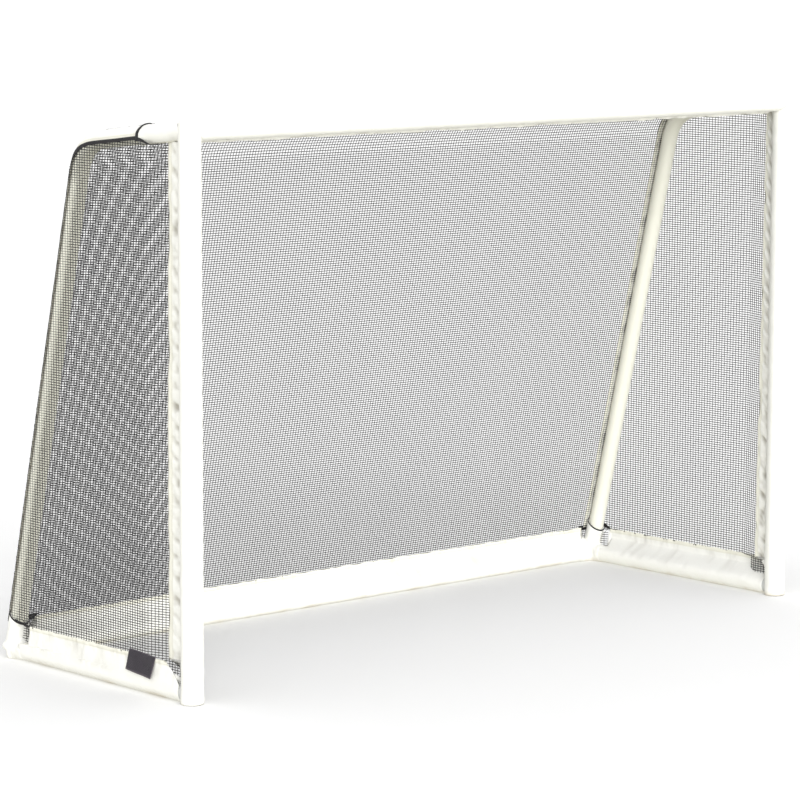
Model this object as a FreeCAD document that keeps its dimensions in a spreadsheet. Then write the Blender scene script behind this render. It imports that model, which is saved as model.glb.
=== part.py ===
import FreeCAD, Part
import math
import os
import Sketcher
from FreeCAD import Placement, Rotation, Vector

# Soccer goal: round tubes on moulded corners, inside a sewn cover of white vinyl cloth and black mesh.
# +X runs to the goal's right as a player facing it sees it, +Y to the rear, +Z up. The origin is on the
# ground, in the middle of the goal's outer box. Sizes are millimetres and degrees.

driving = [
    ("goalHeight", 1220, "ground to the top of the crossbar sleeve"),
    ("postSpacing", 1807, "between the axes of the two posts"),
    ("goalDepth", 625.5, "from the post axes back to the axis of the rear bar"),
    ("mainTube", 45, "outside diameter of the posts and the crossbar"),
    ("sideTube", 38, "outside diameter of the bent side tubes and the ground bars"),
    ("tubeWall", 1.5, "wall of every tube"),
    ("spigotFit", 0.2, "radial gap between a spigot and the tube on it"),
    ("spigotWall", 1.8, "wall of a hollow spigot"),
    ("spigotLength", 70, "how far a spigot goes into its tube"),
    ("mainArm", 60, "full-size arm of a corner moulding on a post or the crossbar"),
    ("sideArm", 45, "full-size arm of a corner moulding on a side tube or a ground bar"),
    ("roofSlope", 6.9, "fall of the depth tubes from the crossbar to the rear"),
    ("backLean", 13.5, "lean of the backstays from upright"),
    ("bendRadius", 90, "centreline radius of the side tubes' bend"),
    ("cloth", 1.2, "thickness of the sewn vinyl"),
    ("clothFit", 0.3, "radial gap between a tube and the cloth round it"),
    ("groundGap", 1.0, "gap between the ground bands and the ground"),
    ("postFlange", 37, "how far a post's flange stands out behind its sleeve"),
    ("roofFlange", 37, "how far the crossbar's roof flange stands out behind its sleeve"),
    ("closingFlange", 16, "how far the flange under the crossbar stands out of its sleeve"),
    ("closingAngle", 38, "angle of that flange from straight down, to the rear"),
    ("bandHeight", 84, "height of the ground bands over the ground"),
    ("cornerPocket", 45, "arm of a rear corner pocket, from the corner's centre"),
    ("cuffLength", 105, "length of the cuff on the front of a depth tube"),
    ("stripLeaf", 25, "reach of the edge strip inboard of the side tube's axis"),
    ("roofSeam", 5, "seam of the side mesh under the depth tube's axis"),
    ("backSeam", 15, "seam of the side mesh behind the backstay's axis"),
    ("mesh", 1.0, "thickness of the mesh"),
    ("meshSlant", 59, "how far behind the post flange the side mesh reaches its outer plane"),
    ("tapeWidth", 10, "width of the black seam tape"),
    ("tape", 0.8, "thickness of the black seam tape"),
    ("tagLength", 85, "length of the blank tag along the band"),
    ("tagHeight", 46, "height of the blank tag"),
    ("tagSetback", 97, "distance from the post axis back to the tag"),
    ("footDiameter", 26, "diameter of a rear foot"),
    ("footPlug", 14, "diameter of the plug on a front foot cap"),
    ("footPlugLength", 12, "length of that plug"),
    ("buttonDiameter", 8, "diameter of a snap button"),
    ("buttonRounding", 1.2, "radius round the tip of a button"),
    ("buttonFit", 0.08, "radial running gap of a snap button in its hole"),
    ("buttonProud", 1.4, "how far a button stands out of its tube"),
    ("buttonFlange", 11, "diameter of the flange inside the spigot that keeps a button in"),
    ("buttonFlangeThickness", 1.0, "thickness of that flange"),
    ("buttonRelease", 0.3, "travel left when a button clears the tube wall"),
    ("buttonInset", 35, "distance of a button from the tube end that it locks"),
    ("fingerHole", 14, "diameter of the hole in the cloth over a button"),
    ("springStrip", 0.8, "thickness of a button's spring clip"),
    ("springWidth", 8, "width of a button's spring clip"),
    ("springLength", 44, "length of a button's spring clip"),
    ("gap", 0.5, "gap between neighbouring pieces of the cover, and round the springs"),
]

# Sizes that follow from the driving ones, as expressions over the sheet.
mainRadius = "(sizes.mainTube / 2)"
sideRadius = "(sizes.sideTube / 2)"
mainLiner = "(sizes.mainTube / 2 + sizes.clothFit)"
sideLiner = "(sizes.sideTube / 2 + sizes.clothFit)"
mainSleeve = f"({mainLiner} + sizes.cloth)"
sideSleeve = f"({sideLiner} + sizes.cloth)"
mainSpigot = f"({mainRadius} - sizes.tubeWall - sizes.spigotFit)"
sideSpigot = f"({sideRadius} - sizes.tubeWall - sizes.spigotFit)"
postX = "(sizes.postSpacing / 2)"
frontY = f"(({mainSleeve} - {sideSleeve} - sizes.goalDepth) / 2)"
rearY = f"({frontY} + sizes.goalDepth)"
topZ = f"(sizes.goalHeight - {mainSleeve})"
baseZ = f"({sideSleeve} + sizes.groundGap)"
footCap = "(sizes.groundGap + sizes.cloth + sizes.clothFit)"
flangeY = f"({frontY} + {mainSleeve} + sizes.postFlange)"
cuffStart = f"({mainSleeve} / cos(sizes.roofSlope) + {sideSleeve} * tan(sizes.roofSlope) + sizes.gap)"
cuffEnd = f"({cuffStart} + sizes.cuffLength)"
buttonTravel = "(sizes.buttonProud + sizes.tubeWall + sizes.spigotFit + sizes.buttonRelease)"

doc = FreeCAD.newDocument("soccer_goal")
sheet = doc.addObject("Spreadsheet::Sheet", "sizes")
for row, (alias, value, note) in enumerate(driving, 1):
    sheet.set(f"A{row}", alias)
    sheet.set(f"B{row}", str(value))
    sheet.set(f"C{row}", note)
    sheet.setAlias(f"B{row}", alias)
doc.recompute()

subparts = {}
sides = (("left", -1), ("right", 1))
right, rear, up = Vector(1, 0, 0), Vector(0, 1, 0), Vector(0, 0, 1)


def number(expression):
    """The value of an expression over the sheet."""
    return float(sheet.evalExpression(expression))


def keep(node, item):
    """Names a finished sub-part; the label is also its file's name."""
    item.Label = node
    subparts[node] = item
    return item


def bind(item, **expressions):
    for name, expression in expressions.items():
        item.setExpression(name, expression)
    return item


def rod(radius, length, start, direction=up):
    """Solid cylinder from a start point along a direction."""
    item = bind(doc.addObject("Part::Cylinder", "rod"), Radius=radius, Height=length)
    item.Placement = Placement(start, Rotation(up, direction))
    return item


def ball(radius, centre):
    item = bind(doc.addObject("Part::Sphere", "ball"), Radius=radius)
    item.Placement = Placement(centre, Rotation())
    return item


def block(length, width, height, corner, turn=Rotation()):
    """Box with its lowest corner at a point, turned about that point."""
    item = bind(doc.addObject("Part::Box", "block"), Length=length, Width=width, Height=height)
    item.Placement = Placement(corner, turn)
    return item


def join(*pieces):
    item = doc.addObject("Part::MultiFuse", "join")
    item.Shapes = list(pieces)
    return item


def cut(base, *tools):
    item = doc.addObject("Part::Cut", "cut")
    item.Base = base
    item.Tool = tools[0] if len(tools) == 1 else join(*tools)
    return item


def pipe(radius, inner, length, start, direction=up):
    """Hollow cylinder."""
    return cut(rod(radius, length, start, direction), rod(inner, length, start, direction))


def common(*pieces):
    item = doc.addObject("Part::MultiCommon", "common")
    item.Shapes = list(pieces)
    return item


def group(*pieces):
    """Several separate solids in one node."""
    item = doc.addObject("Part::Compound", "group")
    item.Links = list(pieces)
    return item


def extrude(edges, thickness, plane, turn):
    """A closed outline as a sketch on the given placement, extruded along the sketch's own normal."""
    sketch = doc.addObject("Sketcher::SketchObject", "outline")
    sketch.addGeometry(edges, False)
    sketch.Placement = Placement(plane, turn)
    item = doc.addObject("Part::Extrusion", "extrusion")
    item.Base = sketch
    item.DirMode = "Custom"
    item.Dir = turn.multVec(up)
    item.Solid = True
    return bind(item, LengthFwd=thickness)


# Side profile: the depth tube falls from the crossbar to the bend, and the backstay leans back down to the
# rear bar. A point of it is (y, z). Offsets count outwards: up from the roof and to the rear of the back.

sideTurn = Rotation(Vector(0, 1, 0), Vector(0, 0, 1), Vector(1, 0, 0), "ZXY")
groundTurn = Rotation()
slope = math.radians(number("sizes.roofSlope"))
lean = math.radians(number("sizes.backLean"))
roofAlong = Vector(math.cos(slope), -math.sin(slope), 0)
roofOut = Vector(math.sin(slope), math.cos(slope), 0)
backAlong = Vector(math.sin(lean), -math.cos(lean), 0)
backOut = Vector(math.cos(lean), math.sin(lean), 0)
topCentre = Vector(number(frontY), number(topZ), 0)
baseCentre = Vector(number(rearY), number(baseZ), 0)
turnAngle = math.pi / 2 - slope - lean
bendRadius = number("sizes.bendRadius")
span = baseCentre - topCentre
roofLength = span.dot(backOut) / roofAlong.dot(backOut)
bendCorner = topCentre + roofAlong * roofLength
bendReach = bendRadius * math.tan(turnAngle / 2)
bendCentre = bendCorner - roofAlong * bendReach - roofOut * bendRadius
bendMiddle = (roofOut + backOut).normalize()


def roofPoint(along, offset):
    """Point at a distance from the crossbar's axis along the depth tube."""
    return topCentre + roofAlong * along + roofOut * offset


def backPoint(height, offset):
    """Point of a line beside the backstay at a height over the ground."""
    foot = baseCentre + backOut * offset
    return foot - backAlong * ((height - foot.y) / math.cos(lean))


def bendArc(roofOffset, backOffset, backwards=False):
    """Arc round the bend, between two offsets."""
    middle = (roofOffset + backOffset) / 2
    first = bendCentre + roofOut * (bendRadius + roofOffset)
    last = bendCentre + backOut * (bendRadius + backOffset)
    over = bendCentre + bendMiddle * (bendRadius + middle)
    return Part.Arc(last, over, first) if backwards else Part.Arc(first, over, last)


def ring(*items):
    """Closed list of edges through points and arcs."""
    edges = []
    ends = [(i, i) if isinstance(i, Vector) else (i.StartPoint, i.EndPoint) for i in items]
    for index, item in enumerate(items):
        if not isinstance(item, Vector):
            edges.append(item)
        following = ends[(index + 1) % len(items)][0]
        if ends[index][1].distanceToPoint(following) > 1e-6:
            edges.append(Part.LineSegment(ends[index][1], following))
    return edges


def bentBand(start, end, low, high):
    """Outline of a band round the bend: from a distance along the roof down to a height on the back.
    low and high are its offsets as (on the roof, on the back)."""
    return ring(
        roofPoint(start, high[0]), bendArc(*high), backPoint(end, high[1]),
        backPoint(end, low[1]), bendArc(*low, backwards=True), roofPoint(start, low[0]),
    )


def sidePlate(edges, thickness, x):
    """Profile outline extruded in +X from a plane."""
    return extrude(edges, thickness, Vector(x, 0, 0), sideTurn)


def inSpace(point, x):
    """Space point of a profile point."""
    return Vector(x, point.x, point.y)


roofDirection = inSpace(roofAlong, 0)
backDirection = inSpace(backAlong, 0)
backTurn = Rotation(right, inSpace(backOut, 0), backDirection * -1, "XZY")


# Hard parts


def posts():
    """Straight post tubes between the front elbows and the top corners."""
    for side, sign in sides:
        start = Vector(sign * number(postX), number(frontY), number("sizes.mainArm"))
        length = f"{topZ} - 2 * sizes.mainArm"
        keep(f"{side}_post", pipe(mainRadius, f"{mainRadius} - sizes.tubeWall", length, start))


def crossbar():
    """Crossbar halves that meet over the coupler."""
    centre = Vector(0, number(frontY), number(topZ))
    length = f"{postX} - sizes.mainArm"
    for side, sign in sides:
        outward = right * sign
        half = pipe(mainRadius, f"{mainRadius} - sizes.tubeWall", length, centre, outward)
        holes = [buttonHole(centre + outward * (number(length) - number("sizes.buttonInset")), -up)]
        if sign > 0:
            holes.append(buttonHole(centre + outward * number("sizes.buttonInset"), -up))
        keep(f"{side}_crossbar_half", cut(half, *holes))
    hole = buttonHole(centre + right * number("sizes.buttonInset"), -up)
    keep("crossbar_coupler", cut(coupler(mainSpigot, centre), hole))


def coupler(radius, centre):
    """Inner tube that joins two halves of a bar along X."""
    start = centre - right * number("sizes.spigotLength")
    return pipe(radius, f"{radius} - sizes.spigotWall", "2 * sizes.spigotLength", start, right)


def buttonHole(centre, outward):
    """Drill for a snap button from a tube's axis outwards."""
    radius = "sizes.buttonDiameter / 2 + sizes.buttonFit"
    return rod(radius, "sizes.mainTube", centre, outward)


def fingerHole(centre, outward):
    """Cutter for the hole in the cloth over a snap button."""
    return rod("sizes.fingerHole / 2", "sizes.mainTube", centre, outward)


def arm(radius, spigot, reach, centre, direction, bored):
    """Arm of a corner moulding with its spigot, and the bore for a button's spring."""
    full = rod(radius, reach, centre, direction)
    thin = rod(spigot, f"{reach} + sizes.spigotLength", centre, direction)
    if not bored:
        return [full, thin], []
    shoulder = centre + direction * number(reach)
    bore = rod(f"{spigot} - sizes.spigotWall", "sizes.spigotLength", shoulder, direction)
    return [full, thin], [bore]


def topCorners():
    """Three-way corners between post, crossbar and depth tube."""
    for side, sign in sides:
        centre = Vector(sign * number(postX), number(frontY), number(topZ))
        inward = right * -sign
        solids, bores = [ball(mainRadius, centre)], []
        arms = [
            arm(mainRadius, mainSpigot, "sizes.mainArm", centre, -up, False),
            arm(mainRadius, mainSpigot, "sizes.mainArm", centre, inward, True),
            arm(sideRadius, sideSpigot, "sizes.sideArm", centre, roofDirection, True),
        ]
        for armSolids, armBores in arms:
            solids += armSolids
            bores += armBores
        bores.append(buttonHole(crossbarButtonPoint(sign), -up))
        bores.append(buttonHole(depthButtonPoint(sign), depthButtonOut))
        keep(f"{side}_top_corner", cut(join(*solids), *bores))


def crossbarButtonPoint(sign):
    """Axis point of the button that locks the crossbar on a top corner."""
    along = number(f"{postX} - sizes.mainArm - sizes.buttonInset")
    return Vector(sign * along, number(frontY), number(topZ))


def depthButtonPoint(sign):
    """Axis point of the button that locks a side tube on a top corner."""
    return inSpace(roofPoint(number("sizes.sideArm + sizes.buttonInset"), 0), sign * number(postX))


depthButtonOut = inSpace(roofOut * -1, 0)


def sideTubes():
    """Side tubes: depth tube and backstay in one piece, with a bend."""
    for side, sign in sides:
        x = sign * number(postX)
        body = doc.addObject("PartDesign::Body", "sideTube")
        path = body.newObject("Sketcher::SketchObject", "centreline")
        path.AttachmentSupport = (originPlane(body, "YZ_Plane"), [""])
        path.MapMode = "FlatFace"
        path.AttachmentOffset = Placement(Vector(0, 0, x), Rotation())
        start = roofPoint(number("sizes.sideArm"), 0)
        end = baseCentre - backAlong * number("sizes.sideArm")
        bend = bendArc(0, 0)
        straights = Part.LineSegment(start, bend.StartPoint), Part.LineSegment(bend.EndPoint, end)
        path.addGeometry([straights[0], bend, straights[1]])
        section = body.newObject("Sketcher::SketchObject", "section")
        section.Placement = Placement(inSpace(start, x), Rotation(up, roofDirection))
        outer = section.addGeometry(Part.Circle(Vector(), up, number(sideRadius)))
        inner = section.addGeometry(Part.Circle(Vector(), up, number(sideRadius) / 2))
        for circle, radius in ((outer, sideRadius), (inner, f"{sideRadius} - sizes.tubeWall")):
            constraint = section.addConstraint(Sketcher.Constraint("Radius", circle, number(radius)))
            section.setExpression(f"Constraints[{constraint}]", radius)
        tube = body.newObject("PartDesign::AdditivePipe", "tube")
        tube.Profile = section
        tube.Spine = path
        doc.recompute()
        hole = buttonHole(depthButtonPoint(sign), depthButtonOut)
        keep(f"{side}_side_tube", cut(body, hole))


def originPlane(body, role):
    return next(item for item in body.Origin.OriginFeatures if item.Role == role)


def frontElbows():
    """Elbows between the posts and the side ground bars, on their foot caps."""
    for side, sign in sides:
        foot = Vector(sign * number(postX), number(frontY), number(footCap))
        centre = Vector(foot.x, foot.y, number(baseZ))
        upright = rod(mainRadius, f"sizes.mainArm - {footCap}", foot)
        spigot = rod(mainSpigot, f"sizes.mainArm - {footCap} + sizes.spigotLength", foot)
        solids, bores = arm(sideRadius, sideSpigot, "sizes.sideArm", centre, rear, False)
        socket = rod("sizes.footPlug / 2", "sizes.footPlugLength", foot)
        keep(f"{side}_front_elbow", cut(join(upright, spigot, *solids), socket))
        cap = rod(mainRadius, footCap, Vector(foot.x, foot.y, 0))
        plug = rod("sizes.footPlug / 2", "sizes.footPlugLength", foot)
        keep(f"{side}_front_foot", join(cap, plug))


def groundBars():
    """Side ground bars, and the rear bar's halves over their coupler."""
    inner = f"{sideRadius} - sizes.tubeWall"
    for side, sign in sides:
        start = Vector(sign * number(postX), number(f"{frontY} + sizes.sideArm"), number(baseZ))
        bar = pipe(sideRadius, inner, "sizes.goalDepth - 2 * sizes.sideArm", start, rear)
        keep(f"{side}_ground_bar", bar)
    centre = Vector(0, number(rearY), number(baseZ))
    hole = centre + right * number("sizes.buttonInset")
    for side, sign in sides:
        half = pipe(sideRadius, inner, f"{postX} - sizes.sideArm", centre, right * sign)
        keep(f"{side}_rear_bar_half", cut(half, buttonHole(hole, rear)) if sign > 0 else half)
    keep("rear_bar_coupler", cut(coupler(sideSpigot, centre), buttonHole(hole, rear)))


def rearCorners():
    """Three-way corners between side bar, rear bar and backstay, on their feet."""
    for side, sign in sides:
        centre = Vector(sign * number(postX), number(rearY), number(baseZ))
        solids = [ball(sideRadius, centre)]
        for direction in (-rear, right * -sign, backDirection * -1):
            solids += arm(sideRadius, sideSpigot, "sizes.sideArm", centre, direction, False)[0]
        keep(f"{side}_rear_corner", join(*solids))
        foot = rod("sizes.footDiameter / 2", baseZ, Vector(centre.x, centre.y, 0))
        keep(f"{side}_rear_foot", cut(foot, ball(sideRadius, centre), *footClearance(centre, sign)))


def footClearance(centre, sign):
    """The corner's arms, cut out of its foot."""
    reach = "sizes.sideArm"
    return [rod(sideRadius, reach, centre, direction) for direction in (-rear, right * -sign)]


# Snap buttons: each stands out of its tube, and its flange bears on the inside of the spigot.


def snapButtons():
    centre = Vector(0, number(frontY), number(topZ))
    rearCentre = Vector(0, number(rearY), number(baseZ))
    inset = right * number("sizes.buttonInset")
    springs = []
    places = [
        ("crossbar_middle", centre + inset, -up, right, mainRadius, mainSpigot),
        ("rear_bar_middle", rearCentre + inset, rear, right, sideRadius, sideSpigot),
    ]
    for side, sign in sides:
        places.append((f"{side}_crossbar", crossbarButtonPoint(sign), -up, right, mainRadius, mainSpigot))
        point = depthButtonPoint(sign)
        places.append((f"{side}_side_tube", point, depthButtonOut, roofDirection, sideRadius, sideSpigot))
    for name, point, outward, along, tube, spigot in places:
        keep(f"{name}_button", snapButton(point, outward, tube, spigot))
        springs.append(buttonSpring(point, outward, along, spigot))
    keep("button_springs", group(*springs))


def flangeTop(spigot):
    """Height over the tube's axis at which a button's flange meets the spigot's bore."""
    bore = f"({spigot} - sizes.spigotWall)"
    return f"sqrt({bore} * {bore} - sizes.buttonFlange * sizes.buttonFlange / 4) - sizes.clothFit"


def snapButton(point, outward, tube, spigot):
    """Button turned in one piece with its flange, with a rounded tip."""
    high = number(flangeTop(spigot))
    low = high - number("sizes.buttonFlangeThickness")
    tip = number(f"{tube} + sizes.buttonProud")
    flange, stem = number("sizes.buttonFlange / 2"), number("sizes.buttonDiameter / 2")
    rounding = number("sizes.buttonRounding")
    eighth = rounding * math.sin(math.pi / 4)
    roundStart = Vector(stem, tip - rounding, 0)
    roundOver = Vector(stem - rounding + eighth, tip - rounding + eighth, 0)
    outline = ring(
        Vector(0, low, 0), Vector(flange, low, 0), Vector(flange, high, 0), Vector(stem, high, 0),
        Part.Arc(roundStart, roundOver, Vector(stem - rounding, tip, 0)), Vector(0, tip, 0),
    )
    body = doc.addObject("PartDesign::Body", "button")
    section = body.newObject("Sketcher::SketchObject", "section")
    section.AttachmentSupport = (originPlane(body, "XZ_Plane"), [""])
    section.MapMode = "FlatFace"
    section.addGeometry(outline)
    turned = body.newObject("PartDesign::Revolution", "turned")
    turned.Profile = section
    turned.ReferenceAxis = (section, ["V_Axis"])
    turned.Angle = 360
    body.Placement = Placement(point, Rotation(up, outward))
    return body


def buttonSpring(point, outward, along, spigot):
    """Spring clip bent from strip: a leg on the far wall of the bore, a bend, and a leg up to the button."""
    bore = number(f"{spigot} - sizes.spigotWall")
    width = number("sizes.springWidth")
    strip = number("sizes.springStrip")
    floor = -math.sqrt(bore ** 2 - (width / 2) ** 2) + number("sizes.clothFit")
    seat = number(f"{flangeTop(spigot)} - sizes.buttonFlangeThickness")
    length = number("sizes.springLength")
    across = outward.cross(along)
    turn = Rotation(along, across, outward, "XZY")
    corner = point - along * (length / 2) - across * (width / 2)
    lowCorner = corner + outward * floor
    highCorner = corner + outward * (seat - strip)
    far = block("sizes.springLength", "sizes.springWidth", "sizes.springStrip", lowCorner, turn)
    bend = block("sizes.springStrip", "sizes.springWidth", str(seat - floor), lowCorner, turn)
    nearLength = "sizes.springLength / 2 - sizes.buttonFlange / 2 - sizes.gap"
    near = block(nearLength, "sizes.springWidth", "sizes.springStrip", highCorner, turn)
    return join(far, bend, near)


# Sewn cover: sleeves and bands as closed solids that follow the tubes.


def crossbarSleeve():
    """Crossbar sleeve, mitred at the posts, with its roof flange and the flange under it."""
    x = number(f"{postX} + {mainSleeve}")
    start = Vector(-x, number(frontY), number(topZ))
    length = f"2 * ({postX} + {mainSleeve})"
    roofWidth = f"2 * ({postX} - sizes.stripLeaf)"
    roofLeft = -number(roofWidth) / 2
    roofTurn = Rotation(right, roofDirection, inSpace(roofOut, 0), "XZY")
    roofCorner = inSpace(roofPoint(0, number(sideLiner)), roofLeft)
    roofFlange = block(roofWidth, f"{mainSleeve} + sizes.roofFlange", "sizes.cloth", roofCorner, roofTurn)
    closing = math.radians(number("sizes.closingAngle"))
    downwards = Vector(0, math.sin(closing), -math.cos(closing))
    closingTurn = Rotation(right, downwards, right.cross(downwards), "XZY")
    closingWidth = f"2 * ({postX} - {mainSleeve} - sizes.gap)"
    closingCorner = Vector(-number(closingWidth) / 2, start.y, start.z)
    closingFlange = block(closingWidth, f"{mainSleeve} + sizes.closingFlange", "sizes.cloth", closingCorner,
                          closingTurn)
    outer = join(rod(mainSleeve, length, start, right), roofFlange, closingFlange)
    cutters = [rod(mainLiner, length, start, right), mitre(-1, True), mitre(1, True)]
    cutters += [fingerHole(crossbarButtonPoint(sign), -up) for _, sign in sides]
    cutters.append(fingerHole(Vector(number("sizes.buttonInset"), start.y, start.z), -up))
    cutters += [rod(sideLiner, "sizes.goalDepth", topCornerCentre(sign), roofDirection) for _, sign in sides]
    keep("crossbar_sleeve", cut(outer, *cutters))


def topCornerCentre(sign):
    return Vector(sign * number(postX), number(frontY), number(topZ))


def mitre(sign, below):
    """Block on one side of a top corner's 45 degree seam: below it for the crossbar, above it for a post."""
    centre = topCornerCentre(sign)
    seam = Vector(sign, 0, 1).normalize()
    across = Vector(sign, 0, -1).normalize() if below else Vector(-sign, 0, 1).normalize()
    size = f"3 * {mainSleeve}"
    half = number(size) / 2
    corner = centre - seam * half - rear * half
    turn = Rotation(seam, rear, seam.cross(rear), "XZY")
    if seam.cross(rear).dot(across) < 0:
        corner = centre + seam * half - rear * half
        turn = Rotation(seam * -1, rear, (seam * -1).cross(rear), "XZY")
    return block(size, size, size, corner, turn)


def postSleeves():
    """Post sleeves, mitred at the top, each with the flange behind it that the side mesh is sewn to."""
    for side, sign in sides:
        axis = Vector(sign * number(postX), number(frontY), number("sizes.groundGap"))
        height = f"{topZ} + {mainSleeve} - sizes.groundGap"
        low = number(f"{baseZ} + {sideSleeve} + sizes.gap")
        top = roofPoint(number(f"{mainSleeve} + sizes.postFlange"), 0).y - number(f"{sideSleeve} + sizes.gap")
        corner = Vector(axis.x - number("sizes.cloth / 2"), axis.y, low)
        flange = block("sizes.cloth", f"{mainSleeve} + sizes.postFlange", str(top - low), corner)
        cutters = [
            rod(mainLiner, height, axis), mitre(sign, False),
            rod(sideLiner, "sizes.goalDepth", topCornerCentre(sign), roofDirection),
            rod(sideLiner, "sizes.goalDepth", Vector(axis.x, axis.y, number(baseZ)), rear),
        ]
        keep(f"{side}_post_sleeve", cut(join(rod(mainSleeve, height, axis), flange), *cutters))


def sideBands():
    """Ground bands along the side bars: a sleeve, and a standing flange flush with its outer side."""
    for side, sign in sides:
        start = Vector(sign * number(postX), number(f"{frontY} + {mainSleeve} + sizes.gap"), number(baseZ))
        length = f"(sizes.goalDepth - {mainSleeve} - sizes.gap - sizes.cornerPocket)"
        x = sign * number(f"{postX} + {sideLiner}") - (number("sizes.cloth") if sign < 0 else 0)
        flange = block("sizes.cloth", length, f"sizes.bandHeight - {baseZ}", Vector(x, start.y, start.z))
        band = cut(join(rod(sideSleeve, length, start, rear), flange), rod(sideLiner, length, start, rear))
        keep(f"{side}_ground_band", band)


def rearBand():
    """Ground band along the rear bar; its flange leans with the back."""
    length = f"(2 * ({postX} - sizes.cornerPocket))"
    start = Vector(-number(length) / 2, number(rearY), number(baseZ))
    corner = inSpace(baseCentre + backOut * number(sideLiner), start.x)
    rise = f"(sizes.bandHeight - {baseZ}) / cos(sizes.backLean) - {sideLiner} * tan(sizes.backLean)"
    flange = block(length, "sizes.cloth", rise, corner, backTurn)
    outer = join(rod(sideSleeve, length, start, right), flange)
    hole = fingerHole(Vector(number("sizes.buttonInset"), start.y, start.z), rear)
    keep("rear_ground_band", cut(outer, rod(sideLiner, length, start, right), hole))


def cornerPockets():
    """Cloth pockets over the rear corners, open for the backstay and the foot."""
    for side, sign in sides:
        centre = Vector(sign * number(postX), number(rearY), number(baseZ))
        layers = []
        for radius in (sideSleeve, sideLiner):
            arms = [rod(radius, "sizes.cornerPocket", centre, way) for way in (-rear, right * -sign)]
            layers.append(join(ball(radius, centre), *arms))
        stay = rod(sideLiner, "sizes.goalHeight", centre, backDirection * -1)
        foot = rod("sizes.footDiameter / 2 + sizes.clothFit", baseZ, Vector(centre.x, centre.y, 0))
        keep(f"{side}_corner_pocket", cut(layers[0], layers[1], stay, foot))


def cuffs():
    """Short white cuffs round the front of the depth tubes."""
    for side, sign in sides:
        start = inSpace(roofPoint(number(cuffStart), 0), sign * number(postX))
        cuff = pipe(sideSleeve, sideLiner, "sizes.cuffLength", start, roofDirection)
        keep(f"{side}_cuff", cut(cuff, fingerHole(depthButtonPoint(sign), depthButtonOut)))


def outerPlane(sign, layer, thickness):
    """X of the low face of a layer that starts outside the side tube's liner."""
    low = number(f"{postX} + {sideLiner}") + number(layer)
    return sign * low - (number(thickness) if sign < 0 else 0)


def seamOffsets(shift):
    """Offsets of the side mesh's seam on the roof and on the back."""
    return shift - number("sizes.roofSeam"), shift + number("sizes.backSeam")


def edgeStrips():
    """White strips over the bent side tubes: a leaf outside the tube and a leaf over and behind it."""
    start = number(f"{cuffEnd} + sizes.gap")
    end = number(f"{baseZ} + {sideSleeve} + 2 * sizes.sideTube / 2")
    liner = number(sideLiner)
    outer = number(sideSleeve)
    for side, sign in sides:
        outside = bentBand(start, end, seamOffsets(0), (outer, outer))
        sideLeaf = sidePlate(outside, "sizes.cloth", outerPlane(sign, "0", "sizes.cloth"))
        over = bentBand(start, end, (liner, liner), (outer, outer))
        width = f"sizes.stripLeaf + {sideSleeve}"
        x = number(f"{postX} - sizes.stripLeaf") if sign > 0 else -number(f"{postX} + {sideSleeve}")
        keep(f"{side}_edge_strip", join(sideLeaf, sidePlate(over, width, x)))


def meshes():
    """Roof and back in one panel, and the two side panels."""
    liner = number(sideLiner)
    face = liner + number("sizes.mesh")
    roofStart = number(f"{mainSleeve} + sizes.roofFlange")
    bandTop = number("sizes.bandHeight + sizes.gap")
    back = bentBand(roofStart, bandTop, (liner, liner), (face, face))
    panel = sidePlate(back, f"2 * ({postX} - sizes.stripLeaf)", -number(f"{postX} - sizes.stripLeaf"))
    pocketTop = number(f"{baseZ} + {sideSleeve} + sizes.gap")
    foot = backPoint(pocketTop, liner)
    rise = str((bandTop - pocketTop) / math.cos(lean) + number("sizes.gap"))
    width = "sizes.cornerPocket - sizes.stripLeaf"
    infills = []
    for _, sign in sides:
        x = number(f"{postX} - sizes.cornerPocket") if sign > 0 else -number(f"{postX} - sizes.stripLeaf")
        infills.append(block(width, "sizes.mesh", rise, inSpace(foot, x), backTurn))
    keep("back_mesh", join(panel, *infills))
    for side, sign in sides:
        keep(f"{side}_side_mesh", common(meshFold(sign), sidePlate(
            sideMeshOutline(), "sizes.postSpacing", -number(postX) + sign * number(postX))))


def sideMeshOutline():
    """Outline of a side panel: post flange, seam under the depth tube, seam behind the backstay, band."""
    front = number(flangeY)
    under = -number(f"{sideSleeve} + 2 * sizes.gap")
    slantEnd = number(f"{mainSleeve} + sizes.postFlange + sizes.meshSlant")
    stripStart = number(f"{cuffEnd} + sizes.gap")
    seam = seamOffsets(0)
    bandTop = number("sizes.bandHeight")
    pocketTop = number(f"{baseZ} + {sideSleeve} + sizes.gap")
    notch = number(f"{rearY} - sizes.cornerPocket")
    corner = roofPoint(0, under)
    frontTop = Vector(front, corner.y - (front - corner.x) * math.tan(slope), 0)
    return ring(
        Vector(front, bandTop, 0), frontTop, roofPoint(slantEnd, under), roofPoint(stripStart, seam[0]),
        bendArc(*seam), backPoint(pocketTop, seam[1]), Vector(notch, pocketTop, 0), Vector(notch, bandTop, 0),
    )


def meshFold(sign):
    """Plan of a side panel, full height: it slants out from the post flange to the outer plane."""
    inner = number(postX)
    outer = number(f"{postX} + {sideLiner}")
    thickness = number("sizes.mesh")
    front = number(flangeY)
    outerFront = front + number("sizes.meshSlant")
    back = number(f"{rearY} + sizes.sideTube")
    plan = [
        (inner, front), (outer, outerFront), (outer, back),
        (outer + thickness, back), (outer + thickness, outerFront), (inner + thickness, front),
    ]
    points = [Vector(sign * x, y, 0) for x, y in plan]
    return extrude(ring(*points), "sizes.goalHeight", Vector(), groundTurn)


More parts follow.
